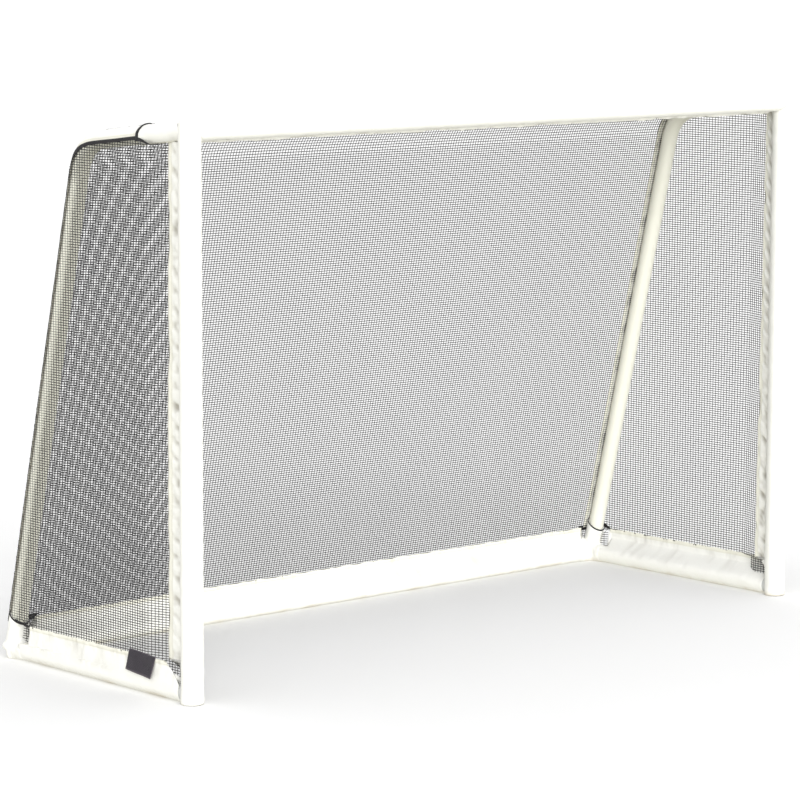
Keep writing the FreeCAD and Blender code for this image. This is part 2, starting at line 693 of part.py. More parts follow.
def tapes():
    """Black tape on the seams: along the edge strips, and along the tops of the ground bands."""
    half = number("sizes.tapeWidth / 2")
    start = number(f"{cuffEnd} + sizes.gap")
    end = number(f"{baseZ} + {sideSleeve} + 2 * sizes.sideTube / 2")
    outer = number(sideSleeve)
    cover = outer + number("sizes.tape")
    backEnd = number("sizes.bandHeight + sizes.tapeWidth")
    for side, sign in sides:
        seam = bentBand(start, end, seamOffsets(-half), seamOffsets(half))
        sideTape = sidePlate(seam, "sizes.tape", outerPlane(sign, "sizes.cloth", "sizes.tape"))
        over = bentBand(start, backEnd, (outer, outer), (cover, cover))
        middle = sign * number(f"{postX} - sizes.stripLeaf")
        keep(f"{side}_edge_tape", group(sideTape, sidePlate(over, "sizes.tapeWidth", middle - half)))
        low = Vector(outerPlane(sign, "sizes.cloth", "sizes.tape"), 0, number("sizes.bandHeight") - half)
        low.y = number(f"{flangeY} + sizes.meshSlant")
        length = f"{rearY} - sizes.cornerPocket - ({flangeY} + sizes.meshSlant)"
        keep(f"{side}_band_tape", block("sizes.tape", length, "sizes.tapeWidth", low))
    length = f"(2 * ({postX} - sizes.cornerPocket))"
    low = backPoint(number("sizes.bandHeight") - half, outer)
    corner = inSpace(low, -number(length) / 2)
    keep("rear_band_tape", block(length, "sizes.tape", "sizes.tapeWidth", corner, backTurn))


def cornerStraps():
    """Black straps that bridge the notches over the corner pockets: one at the side, one at the back."""
    half = number("sizes.tapeWidth / 2")
    outer = number(sideSleeve)
    for side, sign in sides:
        notch = number(f"{rearY} - sizes.cornerPocket")
        seam = backPoint(number("sizes.bandHeight") + half, number("sizes.backSeam") - half).x
        low = Vector(outerPlane(sign, "sizes.cloth", "sizes.tape"), notch, number("sizes.bandHeight") - half)
        outside = block("sizes.tape", str(seam - number("sizes.gap") - notch), "sizes.tapeWidth", low)
        foot = backPoint(number("sizes.bandHeight") - half, outer)
        length = "sizes.cornerPocket - sizes.stripLeaf - sizes.tapeWidth / 2 - sizes.gap"
        x = number(f"{postX} - sizes.cornerPocket")
        x = x if sign > 0 else -x - number(length)
        behind = block(length, "sizes.tape", "sizes.tapeWidth", inSpace(foot, x), backTurn)
        keep(f"{side}_corner_strap", group(outside, behind))


def blankTag():
    """Woven tag, blank, hanging from the seam of the left band near its front."""
    x = outerPlane(-1, "sizes.cloth + sizes.tape", "sizes.mesh")
    y = number(f"{frontY} + sizes.tagSetback")
    top = number("sizes.bandHeight + sizes.tapeWidth / 2")
    low = Vector(x, y, top - number("sizes.tagHeight"))
    keep("blank_tag", block("sizes.mesh", "sizes.tagLength", "sizes.tagHeight", low))


posts()
crossbar()
topCorners()
sideTubes()
frontElbows()
groundBars()
rearCorners()
snapButtons()
crossbarSleeve()
postSleeves()
sideBands()
rearBand()
cornerPockets()
cuffs()
edgeStrips()
meshes()
tapes()
cornerStraps()
blankTag()
doc.recompute()

faults = [item.Label for item in doc.Objects if {"Invalid", "Error"} & set(item.State)]
faults += [name for name, item in subparts.items() if item.Shape.isNull() or not item.Shape.isValid()]
if faults:
    raise RuntimeError("failed: " + ", ".join(faults))

os.makedirs("parts", exist_ok=True)
for name, item in subparts.items():
    item.Shape.exportStep(f"parts/{name}.step")
    box = item.Shape.BoundBox
    spans = (box.XMin, box.XMax, box.YMin, box.YMax, box.ZMin, box.ZMax)
    print(f"{name:24s} {len(item.Shape.Solids)} {item.Shape.Volume:11.1f}", *(f"{edge:7.1f}" for edge in spans))
print("button travel", round(number(buttonTravel), 3))
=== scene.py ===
import bpy
import math
import numpy as np
from mathutils import Matrix, Vector


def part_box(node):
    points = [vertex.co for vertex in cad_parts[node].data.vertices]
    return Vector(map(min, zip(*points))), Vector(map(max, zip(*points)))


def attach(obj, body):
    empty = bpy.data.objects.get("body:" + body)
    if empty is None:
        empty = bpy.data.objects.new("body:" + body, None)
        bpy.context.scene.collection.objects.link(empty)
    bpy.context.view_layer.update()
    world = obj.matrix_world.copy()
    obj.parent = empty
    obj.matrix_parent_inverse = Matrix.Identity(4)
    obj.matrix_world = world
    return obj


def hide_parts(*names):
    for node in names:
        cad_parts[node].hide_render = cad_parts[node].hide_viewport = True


# Soccer goal in a sewn cover of white vinyl and black net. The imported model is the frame; the cover's
# pieces are made here over it. Metres throughout: +X is the goal's right, +Y its rear, +Z is up.

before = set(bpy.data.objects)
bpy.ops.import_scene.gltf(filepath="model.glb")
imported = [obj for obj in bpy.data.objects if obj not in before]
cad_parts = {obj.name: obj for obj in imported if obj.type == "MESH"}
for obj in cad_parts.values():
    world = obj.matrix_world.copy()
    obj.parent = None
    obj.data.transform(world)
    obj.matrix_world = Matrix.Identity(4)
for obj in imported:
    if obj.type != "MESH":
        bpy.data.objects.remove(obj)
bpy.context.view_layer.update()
scene = bpy.context.scene
print("frame loaded:", len(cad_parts), "nodes")


# Places read from the frame

def middle(node, axis):
    low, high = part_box(node)
    return (low[axis] + high[axis]) / 2


def halfWidth(node):
    low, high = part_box(node)
    return (high[0] - low[0]) / 2


postX = middle("right_post", 0)
frontY = middle("right_post", 1)
topZ = middle("right_crossbar_half", 2)
baseZ = middle("right_ground_bar", 2)
rearY = middle("right_rear_bar_half", 1)
sides = (("left", -1), ("right", 1))

goal = {
    "roofSlope": 6.9,        # fall of the depth tubes, degrees
    "backLean": 13.5,        # lean of the backstays, degrees
    "bendRadius": 0.090,
    "cloth": 0.0012,
    "slack": 0.0003,         # gap between a tube and the cloth on it
    "gap": 0.0005,           # left between two sewn pieces
    "loose": (0.0003, 0.0004),   # mean lift of the cloth on a tube, and its unevenness
    "bandHeight": 0.084,
    "cornerPocket": 0.045,
}
mainLiner = halfWidth("right_post") + goal["slack"]
sideLiner = halfWidth("right_ground_bar") + goal["slack"]
mainCover = mainLiner + goal["cloth"]
sideCover = sideLiner + goal["cloth"]
slope = math.radians(goal["roofSlope"])
lean = math.radians(goal["backLean"])
bendRadius = goal["bendRadius"]
bandTop = goal["bandHeight"]
notchY = rearY - goal["cornerPocket"]

roofAlong = np.array([0, math.cos(slope), -math.sin(slope)])
roofOut = np.array([0, math.sin(slope), math.cos(slope)])
backAlong = np.array([0, math.sin(lean), -math.cos(lean)])
backOut = np.array([0, math.cos(lean), math.sin(lean)])
topCentre = np.array([0, frontY, topZ])
baseCentre = np.array([0, rearY, baseZ])
roofRun = (baseCentre - topCentre) @ backOut / (roofAlong @ backOut)
bendTurn = math.pi / 2 - slope - lean
bendStart = roofRun - bendRadius * math.tan(bendTurn / 2)
bendEnd = bendStart + bendRadius * bendTurn
bendCentre = topCentre + roofAlong * bendStart - roofOut * bendRadius
sideRun = bendEnd + (baseCentre - bendCentre - backOut * bendRadius) @ backAlong


def sideFrame(run):
    # Centre, outward and onward directions of the bent side tube at a distance from the crossbar's axis.
    run = np.asarray(run, float)[..., None]
    turn = np.clip((run - bendStart) / bendRadius, 0, bendTurn)
    out = roofOut * np.cos(turn) + roofAlong * np.sin(turn)
    along = roofAlong * np.cos(turn) - roofOut * np.sin(turn)
    centre = bendCentre + out * bendRadius + along * (run - np.clip(run, bendStart, bendEnd))
    return centre, out, along


def backRun(height, offset=0.0):
    # Distance along the side tube at which a line beside the backstay reaches a height.
    return sideRun - (height - baseZ - offset * math.sin(lean)) / math.cos(lean)


# Camera, light and floor

shot = {
    "place": (-5.3906, -5.9157, 1.6317),
    "heading": 42.12,        # degrees from +Y towards +X
    "down": 7.87,
    "roll": 0.18,
    "lens": 158.04,
    "sensor": 36,
    "far": 500,
}


def put(name, data):
    # A new object in the scene.
    made = bpy.data.objects.new(name, data)
    scene.collection.objects.link(made)
    return made


def setCamera():
    heading, down, roll = (math.radians(shot[key]) for key in ("heading", "down", "roll"))
    level = Vector((math.sin(heading), math.cos(heading), 0))
    ahead = level * math.cos(down) - Vector((0, 0, math.sin(down)))
    across = ahead.cross(Vector((0, 0, 1))).normalized()
    above = across.cross(ahead)
    turnedAcross = across * math.cos(roll) + above * math.sin(roll)
    turnedAbove = above * math.cos(roll) - across * math.sin(roll)
    data = bpy.data.cameras.new("camera")
    data.lens = shot["lens"]
    data.sensor_width = shot["sensor"]
    data.clip_end = shot["far"]
    camera = put("camera", data)
    turn = Matrix((turnedAcross, turnedAbove, -ahead)).transposed().to_4x4()
    camera.matrix_world = Matrix.Translation(shot["place"]) @ turn
    scene.camera = camera


setCamera()


# Shader helpers

class Wire:
    # An output socket; sums of wires and numbers become Math nodes.
    def __init__(self, paint, socket):
        self.paint = paint
        self.socket = socket

    def calc(self, operation, *others):
        return self.paint.math(operation, self, *others)

    def __add__(self, other):
        return self.calc("ADD", other)

    def __sub__(self, other):
        return self.calc("SUBTRACT", other)

    def __mul__(self, other):
        return self.calc("MULTIPLY", other)

    def __truediv__(self, other):
        return self.calc("DIVIDE", other)

    def __radd__(self, other):
        return self.calc("ADD", other)

    def __rsub__(self, other):
        return self.paint.math("SUBTRACT", other, self)

    def __rmul__(self, other):
        return self.calc("MULTIPLY", other)

    def __rtruediv__(self, other):
        return self.paint.math("DIVIDE", other, self)


class Paint:
    # The nodes of a material or world being made.
    def __init__(self, owner):
        self.owner = bpy.data.materials.new(owner) if isinstance(owner, str) else owner
        self.owner.use_nodes = True
        self.tree = self.owner.node_tree
        self.tree.nodes.clear()

    def add(self, kind, settings=None, sockets=None, output=0):
        node = self.tree.nodes.new("ShaderNode" + kind)
        for key, value in (settings or {}).items():
            setattr(node, key, value)
        for key, value in (sockets or {}).items():
            if isinstance(value, Wire):
                self.tree.links.new(value.socket, node.inputs[key])
            else:
                node.inputs[key].default_value = value
        return Wire(self, node.outputs[output]) if node.outputs else None

    def math(self, operation, *values):
        return self.add("Math", {"operation": operation}, dict(enumerate(values)))

    def place(self):
        return self.add("TexCoord", output="Object")

    def parts(self, vector):
        return [self.add("SeparateXYZ", None, {0: vector}, axis) for axis in ("X", "Y", "Z")]

    def cloth(self):
        # Along the seam, away from the hem (both metres) and depth of fold, as the pieces carry them; the
        # fold's depth sets how much painted shade a crease gets.
        return self.parts(self.add("Attribute", {"attribute_name": "cloth"}, output="Vector"))

    def stretch(self, vector, scale):
        return self.add("Mapping", None, {"Vector": vector, "Scale": scale})

    def noise(self, vector, scale, detail=3.0, rough=0.5, distortion=0.0):
        sockets = {"Vector": vector, "Scale": scale, "Detail": detail, "Roughness": rough,
                   "Distortion": distortion}
        return self.add("TexNoise", None, sockets)

    def between(self, value, low, high, first=0.0, last=1.0):
        # Smooth step from first to last as value goes from low to high.
        sockets = {0: value, 1: low, 2: high, 3: first, 4: last}
        return self.add("MapRange", {"interpolation_type": "SMOOTHSTEP"}, sockets)

    def line(self, value, centre, half):
        # 1 within half a width of a line, else 0.
        return (value - centre).calc("ABSOLUTE").calc("LESS_THAN", half)

    def mix(self, factor, first, second):
        colours = [value if isinstance(value, Wire) else (*value, 1) for value in (first, second)]
        return self.add("Mix", {"data_type": "RGBA"}, {0: factor, 6: colours[0], 7: colours[1]}, 2)

    def bump(self, height, distance, strength=1.0, under=None):
        sockets = {"Height": height, "Distance": distance, "Strength": strength}
        if under is not None:
            sockets["Normal"] = under
        return self.add("Bump", None, sockets)

    def finish(self, colour, roughness, normal, **fixed):
        sockets = {"Base Color": colour, "Roughness": roughness, "Normal": normal}
        sockets.update({key.replace("_", " "): value for key, value in fixed.items()})
        surface = self.add("BsdfPrincipled", None, sockets)
        self.add("OutputMaterial", None, {"Surface": surface})
        return self.owner


# Finishes

vinyl = {
    "colour": (0.905, 0.903, 0.870),
    "hem": (0.80, 0.775, 0.62),       # folded hems, where the cloth is thicker and creamier
    "fold": (0.40, 0.38, 0.33),       # painted shade in the depth of a fold and in the stitched groove; also the tint of the faint random mottle
    "soil": (0.62, 0.54, 0.42),       # ground dirt along the bottom edges
    "soilHeight": 0.016,
    "weave": 0.0011,                  # pitch of the woven base that shows through the coating
    "stitch": 0.0034,
    "seamAt": 0.0080,                 # distance of the stitched line from the hem
    "seamEnd": 0.0115,                # where the hem's tint has faded out
    "thread": (0.93, 0.93, 0.90),
    "threadHalf": 0.00055,
    "roughness": 0.44,
}


def vinylFinish():
    paint = Paint("whiteVinyl")
    place = paint.place()
    along, fromHem, fold = paint.cloth()
    turns = 2 * math.pi / vinyl["weave"]
    weave = (along * turns).calc("SINE") * (fromHem * turns).calc("SINE")
    soft = paint.noise(place, 34, 4, 0.55, 0.9)
    fine = paint.noise(place, 160, 3, 0.6, 0.4)
    grain = paint.noise(place, 1400, 2)
    dash = (along / vinyl["stitch"]).calc("FRACT").calc("LESS_THAN", 0.66)
    thread = paint.line(fromHem, vinyl["seamAt"], vinyl["threadHalf"]) * dash
    groove = paint.between((fromHem - vinyl["seamAt"]).calc("ABSOLUTE"), 0.0, 0.0016, 1.0, 0.0)
    height = paint.parts(place)[2]
    cloud = paint.noise(place, 13, 4, 0.6, 0.5)
    soil = paint.between(height, 0.001, vinyl["soilHeight"], 0.55, 0.0) * paint.between(cloud, 0.42, 0.66)
    # Painted shade: creases darken towards the fold colour as far as the pieces' fold depth says.
    colour = paint.mix(fold, vinyl["colour"], vinyl["fold"])
    inHem = paint.between(fromHem, vinyl["seamAt"], vinyl["seamEnd"], 0.45, 0.0)
    colour = paint.mix(inHem, colour, vinyl["hem"])
    # Painted shade in the groove beside the stitched line.
    colour = paint.mix(groove * 0.16, colour, vinyl["fold"])
    colour = paint.mix(thread * 0.30, colour, vinyl["thread"])
    colour = paint.mix(paint.between(fine, 0.50, 0.78) * 0.05, colour, vinyl["fold"])
    colour = paint.mix(soil, colour, vinyl["soil"])
    normal = paint.bump(weave * 0.5 + grain * 0.35, 0.00010, 0.7)
    normal = paint.bump(soft + fine * 0.22, 0.0022, 0.55, normal)
    normal = paint.bump(thread - groove * 0.8, 0.0005, 0.8, normal)
    roughness = vinyl["roughness"] + (fine - 0.5) * 0.22 + soil * 0.2
    return paint.finish(colour, roughness, normal, Specular_IOR_Level=0.35, Coat_Weight=0.05,
                        Coat_Roughness=0.35)


tubePaint = {
    "colour": (0.88, 0.872, 0.775),
    "scuff": (0.42, 0.42, 0.40),
    "stain": (0.62, 0.61, 0.52),
    "roughness": 0.34,
}


def tubeFinish():
    paint = Paint("whiteTube")
    place = paint.place()
    peel = paint.noise(place, 420, 3, 0.5)
    cloud = paint.noise(place, 9, 4, 0.6)
    rub = paint.noise(paint.stretch(place, (60, 60, 60)), 1, 6, 0.72, 1.6)
    scuff = paint.between(rub, 0.63, 0.72) * paint.between(cloud, 0.45, 0.70) * 0.55
    colour = paint.mix(scuff, tubePaint["colour"], tubePaint["scuff"])
    colour = paint.mix(paint.between(cloud, 0.35, 0.75) * 0.10, colour, tubePaint["stain"])
    normal = paint.bump(peel, 0.00018, 0.6)
    normal = paint.bump(scuff, 0.0003, 0.5, normal)
    roughness = tubePaint["roughness"] + scuff * 0.4 + (cloud - 0.5) * 0.12
    return paint.finish(colour, roughness, normal, Specular_IOR_Level=0.5, Coat_Weight=0.15,
                        Coat_Roughness=0.2)


netCord = {
    "colour": (0.018, 0.018, 0.020),
    "dust": (0.060, 0.058, 0.055),
    "roughness": 0.55,
}


def netFinish():
    paint = Paint("blackNet")
    place = paint.place()
    cloud = paint.noise(place, 7, 3)
    fibre = paint.noise(place, 2600, 2)
    colour = paint.mix(paint.between(cloud, 0.35, 0.75) * 0.6, netCord["colour"], netCord["dust"])
    roughness = netCord["roughness"] + (cloud - 0.5) * 0.2
    return paint.finish(colour, roughness, paint.bump(fibre, 0.0001, 0.6), Specular_IOR_Level=0.3)


webbing = {
    "colour": (0.016, 0.015, 0.017),
    "worn": (0.055, 0.052, 0.055),
    "thread": (0.085, 0.083, 0.086),
    "rib": 0.0013,
    "edge": 0.0016,           # distance of the stitching from the tape's edge
    "stitch": 0.0030,
    "roughness": 0.62,
}


def tapeFinish():
    paint = Paint("blackTape")
    place = paint.place()
    along, fromEdge, _ = paint.cloth()
    rib = (along * (2 * math.pi / webbing["rib"])).calc("SINE")
    fuzz = paint.noise(place, 1800, 3)
    dash = (along / webbing["stitch"]).calc("FRACT").calc("LESS_THAN", 0.62)
    thread = paint.line(fromEdge, webbing["edge"], 0.0004) * dash
    wear = paint.between(paint.noise(place, 60, 4, 0.6), 0.55, 0.75) * 0.35
    colour = paint.mix(wear, webbing["colour"], webbing["worn"])
    colour = paint.mix(thread * 0.5, colour, webbing["thread"])
    normal = paint.bump(rib * 0.6 + fuzz * 0.5 + thread * 1.2, 0.0003, 0.8)
    roughness = webbing["roughness"] + (fuzz - 0.5) * 0.2
    return paint.finish(colour, roughness, normal, Specular_IOR_Level=0.3)


label = {
    "colour": (0.021, 0.016, 0.024),
    "sheen": (0.040, 0.030, 0.044),
    "edge": (0.085, 0.070, 0.088),    # heat-cut border and folded foot
    "thread": 0.0009,
    "roughness": 0.45,
}


def tagFinish():
    paint = Paint("tagWeave")
    place = paint.place()
    along, fromEdge, folded = paint.cloth()
    turns = 2 * math.pi / label["thread"]
    satin = (along * turns + fromEdge * turns * 0.5).calc("SINE")
    cross = (fromEdge * turns).calc("SINE")
    cloud = paint.noise(place, 70, 4, 0.6)
    border = paint.between(fromEdge, 0.0006, 0.0026, 0.75, 0.0)
    colour = paint.mix(paint.between(cloud, 0.4, 0.7) * 0.35, label["colour"], label["sheen"])
    colour = paint.mix(border, colour, label["edge"])
    colour = paint.mix(folded, colour, label["edge"])
    normal = paint.bump(satin * 0.5 + cross * 0.3 + cloud, 0.00025, 0.7)
    roughness = label["roughness"] + satin * 0.05
    return paint.finish(colour, roughness, normal, Specular_IOR_Level=0.45)


moulding = {
    "colour": (0.56, 0.57, 0.56),
    "flow": (0.48, 0.49, 0.49),
    "roughness": 0.46,
}


def plasticFinish():
    paint = Paint("cornerPlastic")
    place = paint.place()
    grain = paint.noise(place, 900, 4, 0.6)
    flow = paint.noise(paint.stretch(place, (14, 14, 40)), 1, 3, 0.5, 0.6)
    colour = paint.mix(paint.between(flow, 0.4, 0.7) * 0.5, moulding["colour"], moulding["flow"])
    normal = paint.bump(flow, 0.0004, 0.3, paint.bump(grain, 0.00015, 0.7))
    roughness = moulding["roughness"] + (grain - 0.5) * 0.3
    return paint.finish(colour, roughness, normal, Specular_IOR_Level=0.5)


foot = {
    "colour": (0.030, 0.030, 0.031),
    "dust": (0.13, 0.12, 0.10),
    "roughness": 0.75,
}


def rubberFinish():
    paint = Paint("footRubber")
    place = paint.place()
    pebble = paint.add("TexVoronoi", None, {"Vector": place, "Scale": 700})
    cloud = paint.noise(place, 90, 4)
    height = paint.parts(place)[2]
    dust = paint.between(height, 0.0, 0.004, 0.6, 0.1) * paint.between(cloud, 0.4, 0.65)
    colour = paint.mix(dust, foot["colour"], foot["dust"])
    roughness = foot["roughness"] + dust * 0.2
    return paint.finish(colour, roughness, paint.bump(pebble + cloud * 0.4, 0.0003, 0.6),
                        Specular_IOR_Level=0.3)


def metalFinish(name, colour, roughness, scratch):
    # Drawn or turned metal: hair scratches and a faint tarnish.
    paint = Paint(name)
    place = paint.place()
    hair = paint.noise(paint.stretch(place, (scratch, scratch, scratch * 0.05)), 1, 4, 0.7)
    cloud = paint.noise(place, 120, 4, 0.6)
    tarnish = paint.between(cloud, 0.45, 0.75) * 0.5
    tinted = paint.mix(tarnish, colour, tuple(part * 0.55 for part in colour))
    gloss = roughness + (hair - 0.5) * 0.3 + tarnish * 0.2
    return paint.finish(tinted, gloss, paint.bump(hair, 0.00008, 0.5), Metallic=1.0)


ground = {
    "light": (0.85, 0.85, 0.85),
    "dark": (0.835, 0.835, 0.835),
    "size": 260,
}


def floorFinish():
    paint = Paint("paleFloor")
    place = paint.place()
    cloud = paint.noise(place, 1.3, 3)
    colour = paint.mix(cloud * 0.4, ground["light"], ground["dark"])
    normal = paint.bump(paint.noise(place, 60, 2), 0.0004, 0.2)
    return paint.finish(colour, 0.9 + cloud * 0.05, normal, Specular_IOR_Level=0.1)


finishes = {
    "white_vinyl": vinylFinish(),
    "white_tube": tubeFinish(),
    "black_mesh": netFinish(),
    "black_tape": tapeFinish(),
    "tag_weave": tagFinish(),
    "corner_plastic": plasticFinish(),
    "foot_rubber": rubberFinish(),
    "button_steel": metalFinish("buttonSteel", (0.62, 0.62, 0.63), 0.26, 900),
    "spring_steel": metalFinish("springSteel", (0.40, 0.41, 0.44), 0.34, 700),
    "zinc_steel": metalFinish("zincSteel", (0.55, 0.57, 0.58), 0.42, 500),
}
print("finishes made:", len(finishes))


# Light and floor

studio = {
    "sky": 1.04,                  # white light from above and around
    "ground": (0.84, 0.83, 0.74),
    "horizon": (-0.08, 0.06),     # from the ground's colour to the sky's white, as the direction's height
    "key": 2.45,                  # soft sun from the front left
    "keyAngle": 50,
    "keyFrom": (-0.38, -0.90, 0.32),
}


def setLight():
    world = bpy.data.worlds.new("studio")
    paint = Paint(world)
    height = paint.parts(paint.add("TexCoord", output="Generated"))[2]
    low, high = studio["horizon"]
    share = paint.add("MapRange", None, {0: height, 1: low, 2: high})
    colour = paint.mix(share, studio["ground"], (1, 1, 1))
    light = paint.add("Background", None, {0: colour, 1: studio["sky"]})
    paint.add("OutputWorld", None, {0: light})
    scene.world = world
    data = bpy.data.lights.new("key", "SUN")
    data.energy = studio["key"]
    data.angle = math.radians(studio["keyAngle"])
    put("key", data).rotation_euler = Vector(studio["keyFrom"]).to_track_quat("Z", "Y").to_euler()
    half = ground["size"] / 2
    mesh = bpy.data.meshes.new("floor")
    corners = [(-half, -half, 0), (half, -half, 0), (half, half, 0), (-half, half, 0)]
    mesh.from_pydata(corners, [], [(0, 1, 2, 3)])
    mesh.materials.append(floorFinish())
    floor = put("floor", mesh)
    floor.visible_diffuse = False
    scene.view_settings.view_transform = "Standard"


setLight()
print("camera, light and floor set")


# Mesh helpers

def gridFaces(rows, columns, closed=False, start=0):
    # Quads between neighbouring rows of points; closed joins the last column to the first.
    row = np.arange(rows - 1)[:, None] * columns
    column = np.arange(columns if closed else columns - 1)[None, :]
    following = (column + 1) % columns
    faces = np.stack([row + column, row + following, row + columns + following, row + columns + column], -1)
    return faces.reshape(-1, 4) + start


def volume(points, faces):
    # Six times the volume inside quads, less than zero when they face inward.
    first, second, third, fourth = (points[faces[:, index]] for index in range(4))
    halves = np.cross(second, third) + np.cross(third, fourth)
    return np.einsum("ij,ij->", first, halves)


def addPiece(name, points, faces, slot, nodes, cloth=None, flip=None):
    # A mesh object on the frame that stands for its CAD nodes; the right way out unless flip says.
    points = np.asarray(points, float).reshape(-1, 3)
    if volume(points, faces) < 0 if flip is None else flip:
        faces = faces[:, ::-1]
    mesh = bpy.data.meshes.new(name)
    mesh.from_pydata(points.tolist(), [], faces.tolist())
    if cloth is not None:
        layer = mesh.attributes.new("cloth", "FLOAT_VECTOR", "POINT")
        layer.data.foreach_set("vector", np.asarray(cloth, float).ravel())
    mesh.materials.append(finishes[slot])
    mesh.shade_smooth()
    piece = put(name, mesh)
    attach(piece, "frame")
    if nodes:
        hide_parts(*nodes)
    return piece


def spread(*values):
    # Values of any fitting shapes as the parts of one grid of points.
    return np.stack(np.broadcast_arrays(*values), -1)


def slab(face, back):
    # Points and faces of a thin sheet between two grids of points.
    rows, columns = face.shape[:2]
    count = rows * columns
    faces = [gridFaces(rows, columns), gridFaces(rows, columns, start=count)[:, ::-1]]
    index = np.arange(count).reshape(rows, columns)
    rim = np.concatenate([index[0], index[1:, -1], index[-1, -2::-1], index[-2:0:-1, 0]])
    following = np.roll(rim, -1)
    faces.append(np.stack([following, rim, rim + count, following + count], -1))
    return np.concatenate([face.reshape(-1, 3), back.reshape(-1, 3)]), np.concatenate(faces)


def slabPiece(name, slot, nodes, face, back, *cloth):
    # A thin sewn sheet; cloth is its distance along, that from the edge and its fold, which the white vinyl
    # paints as shade in a crease.
    points, faces = slab(face, back)
    layer = spread(*cloth).reshape(-1, 3)
    addPiece(name, points, faces, slot, nodes, np.concatenate([layer, layer]))


def tapePiece(name, nodes, face, back, along, across):
    slabPiece(name, "black_tape", nodes, face, back, along, np.abs(across).max() - np.abs(across), 0)


def ripple(seed, along, across, size, stretch=1.0):
    # Soft irregular relief, about -1 to 1, over metres along and across a seam.
    dice = np.random.default_rng(seed)
    total = 0
    for _ in range(6):
        turn, phase, drift = dice.uniform(0, 2 * math.pi, 3)
        rate = 2 * math.pi / (size * dice.uniform(0.7, 1.9))
        path = along * math.cos(turn) + across * stretch * math.sin(turn)
        total = total + np.sin(path * rate + phase + 1.4 * np.sin((along + across) * rate * 0.43 + drift))
    return total / 3.2


def looseness(seed, along, across, size, stretch):
    # Lift of the cloth where it lies on a tube.
    mean, uneven = goal["loose"]
    return uneven * ripple(seed, along, across, size, stretch) + mean


def ramp(value, low, high):
    # Smooth step from 0 at low to 1 at high.
    share = np.clip((value - low) / (high - low), 0, 1)
    return share * share * (3 - 2 * share)


def arc(radius, first, last):
    angles = np.linspace(first, last, max(4, int(abs(last - first) * 24)))
    return [(radius * math.cos(angle), radius * math.sin(angle)) for angle in angles]


def touch(point, radius, side):
    # Angle at which a straight layer from a point meets a circle round the origin.
    return math.atan2(point[1], point[0]) + side * math.acos(radius / math.hypot(*point))


def evenly(points, step):
    # Points at an even spacing along a polyline, and their distance from its start.
    points = np.array(points, float)
    reach = np.concatenate([[0], np.cumsum(np.hypot(*np.diff(points, axis=0).T))])
    wanted = np.linspace(0, reach[-1], round(reach[-1] / step) + 1)
    return np.stack([np.interp(wanted, reach, points[:, axis]) for axis in (0, 1)], 1), wanted


finger = {
    "hole": 0.007,                # radius of the holes in the cloth over the snap buttons
    "floor": 0.0002,              # lift of a hole's floor over the sleeve's lining
    "near": (-0.004, 0.014),      # span of cloth looked at, from the button's middle outward
    "hem": 0.006,                 # the rim is tinted as cloth this far from a hem
}


def fingerHoles(points, floor, faces, buttons, skip):
    # Sinks a round well in a sleeve's skin over each button: moves points and faces in place and returns
    # the wells' lower rims, their walls and the rims' indices. Indices of new points leave room for skip.
    lows, walls, rims = [], [], []
    near, far = finger["near"]
    for button, outward in buttons:
        away = points - np.mean(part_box(button), 0)
        level = away @ outward
        beside = away - level[:, None] * outward
        reach = np.linalg.norm(beside, axis=1)
        whole = (faces < len(points)).all(1)
        held = np.where(whole[:, None], faces, 0)
        close = ((level > near) & (level < far))[held].all(1)
        sunk = whole & close & (reach[held].mean(1) < finger["hole"])
        if not sunk.any():
            continue
        block = faces[sunk]
        edges = np.concatenate([block[:, [index, (index + 1) % 4]] for index in range(4)])
        codes = edges @ (len(points), 1)
        border = edges[~np.isin(codes, edges @ (1, len(points)))]
        rim = np.unique(border)
        toCircle = beside[rim] * (finger["hole"] / reach[rim] - 1)[:, None]
        points[rim] += toCircle
        within = np.setdiff1d(np.unique(block), rim)
        points[within] = floor[within]
        low = np.full(len(points), -1)
        low[rim] = len(points) + skip + sum(map(len, lows)) + np.arange(len(rim))
        faces[sunk] = np.where(low[block] >= 0, low[block], block)
        walls.append(np.concatenate([border, low[border[:, ::-1]]], 1))
        lows.append(floor[rim] + toCircle)
        rims.append(rim)
    return lows, walls, rims


def sleevePiece(name, nodes, ring, liner, starts, ends, step, place, shape, buttons=()):
    # A sleeve round a tube: ring is its section as (a, b), swept from starts to ends, which differ round
    # place turns (t, a, b) into points; shape gives shifts of a and b and the fold's depth, which is painted
    # as shade in the colour.
    ring, reach = evenly(ring, step[0])
    hem = np.minimum(reach, reach[-1] - reach)
    a, b = ring.T
    starts, ends = starts(a, b), ends(a, b)
    stations = int(math.ceil((ends.max() - starts.min()) / step[1])) + 1
    t = starts + (ends - starts) * np.linspace(0, 1, stations)[:, None]
    moveA, moveB, fold = shape(t, a, b, hem)
    angle = np.arctan2(b, a)

    def lining(t, radius):
        return place(t, radius * np.cos(angle), radius * np.sin(angle)).reshape(-1, 3)

    skin = place(t, a + moveA, b + moveB).reshape(-1, 3)
    columns = len(ring)
    count = len(skin)
    faces = gridFaces(stations, columns, True)
    lows, walls, rims = fingerHoles(skin, lining(t, liner + finger["floor"]), faces, buttons, 2 * columns)
    first = np.arange(columns)
    following = (first + 1) % columns
    last = count - columns
    inner, innerLast = count, count + columns
    faces = [faces, gridFaces(2, columns, True, count)[:, ::-1],
             np.stack([following, first, first + inner, following + inner], -1),
             np.stack([first + last, following + last, following + innerLast, first + innerLast], -1)]
    cloth = spread(t, hem, np.clip(fold, 0, 1)).reshape(-1, 3)
    for rim in rims:
        cloth[rim, 1] = finger["hem"]
    plain = np.tile((0, 0.05, 0), (2 * columns, 1))
    points = np.concatenate([skin, lining(t[[0, -1]], liner)] + lows)
    cloth = np.concatenate([cloth, plain] + [cloth[rim] for rim in rims])
    addPiece(name, points, np.concatenate(faces + walls), "white_vinyl", nodes, cloth)


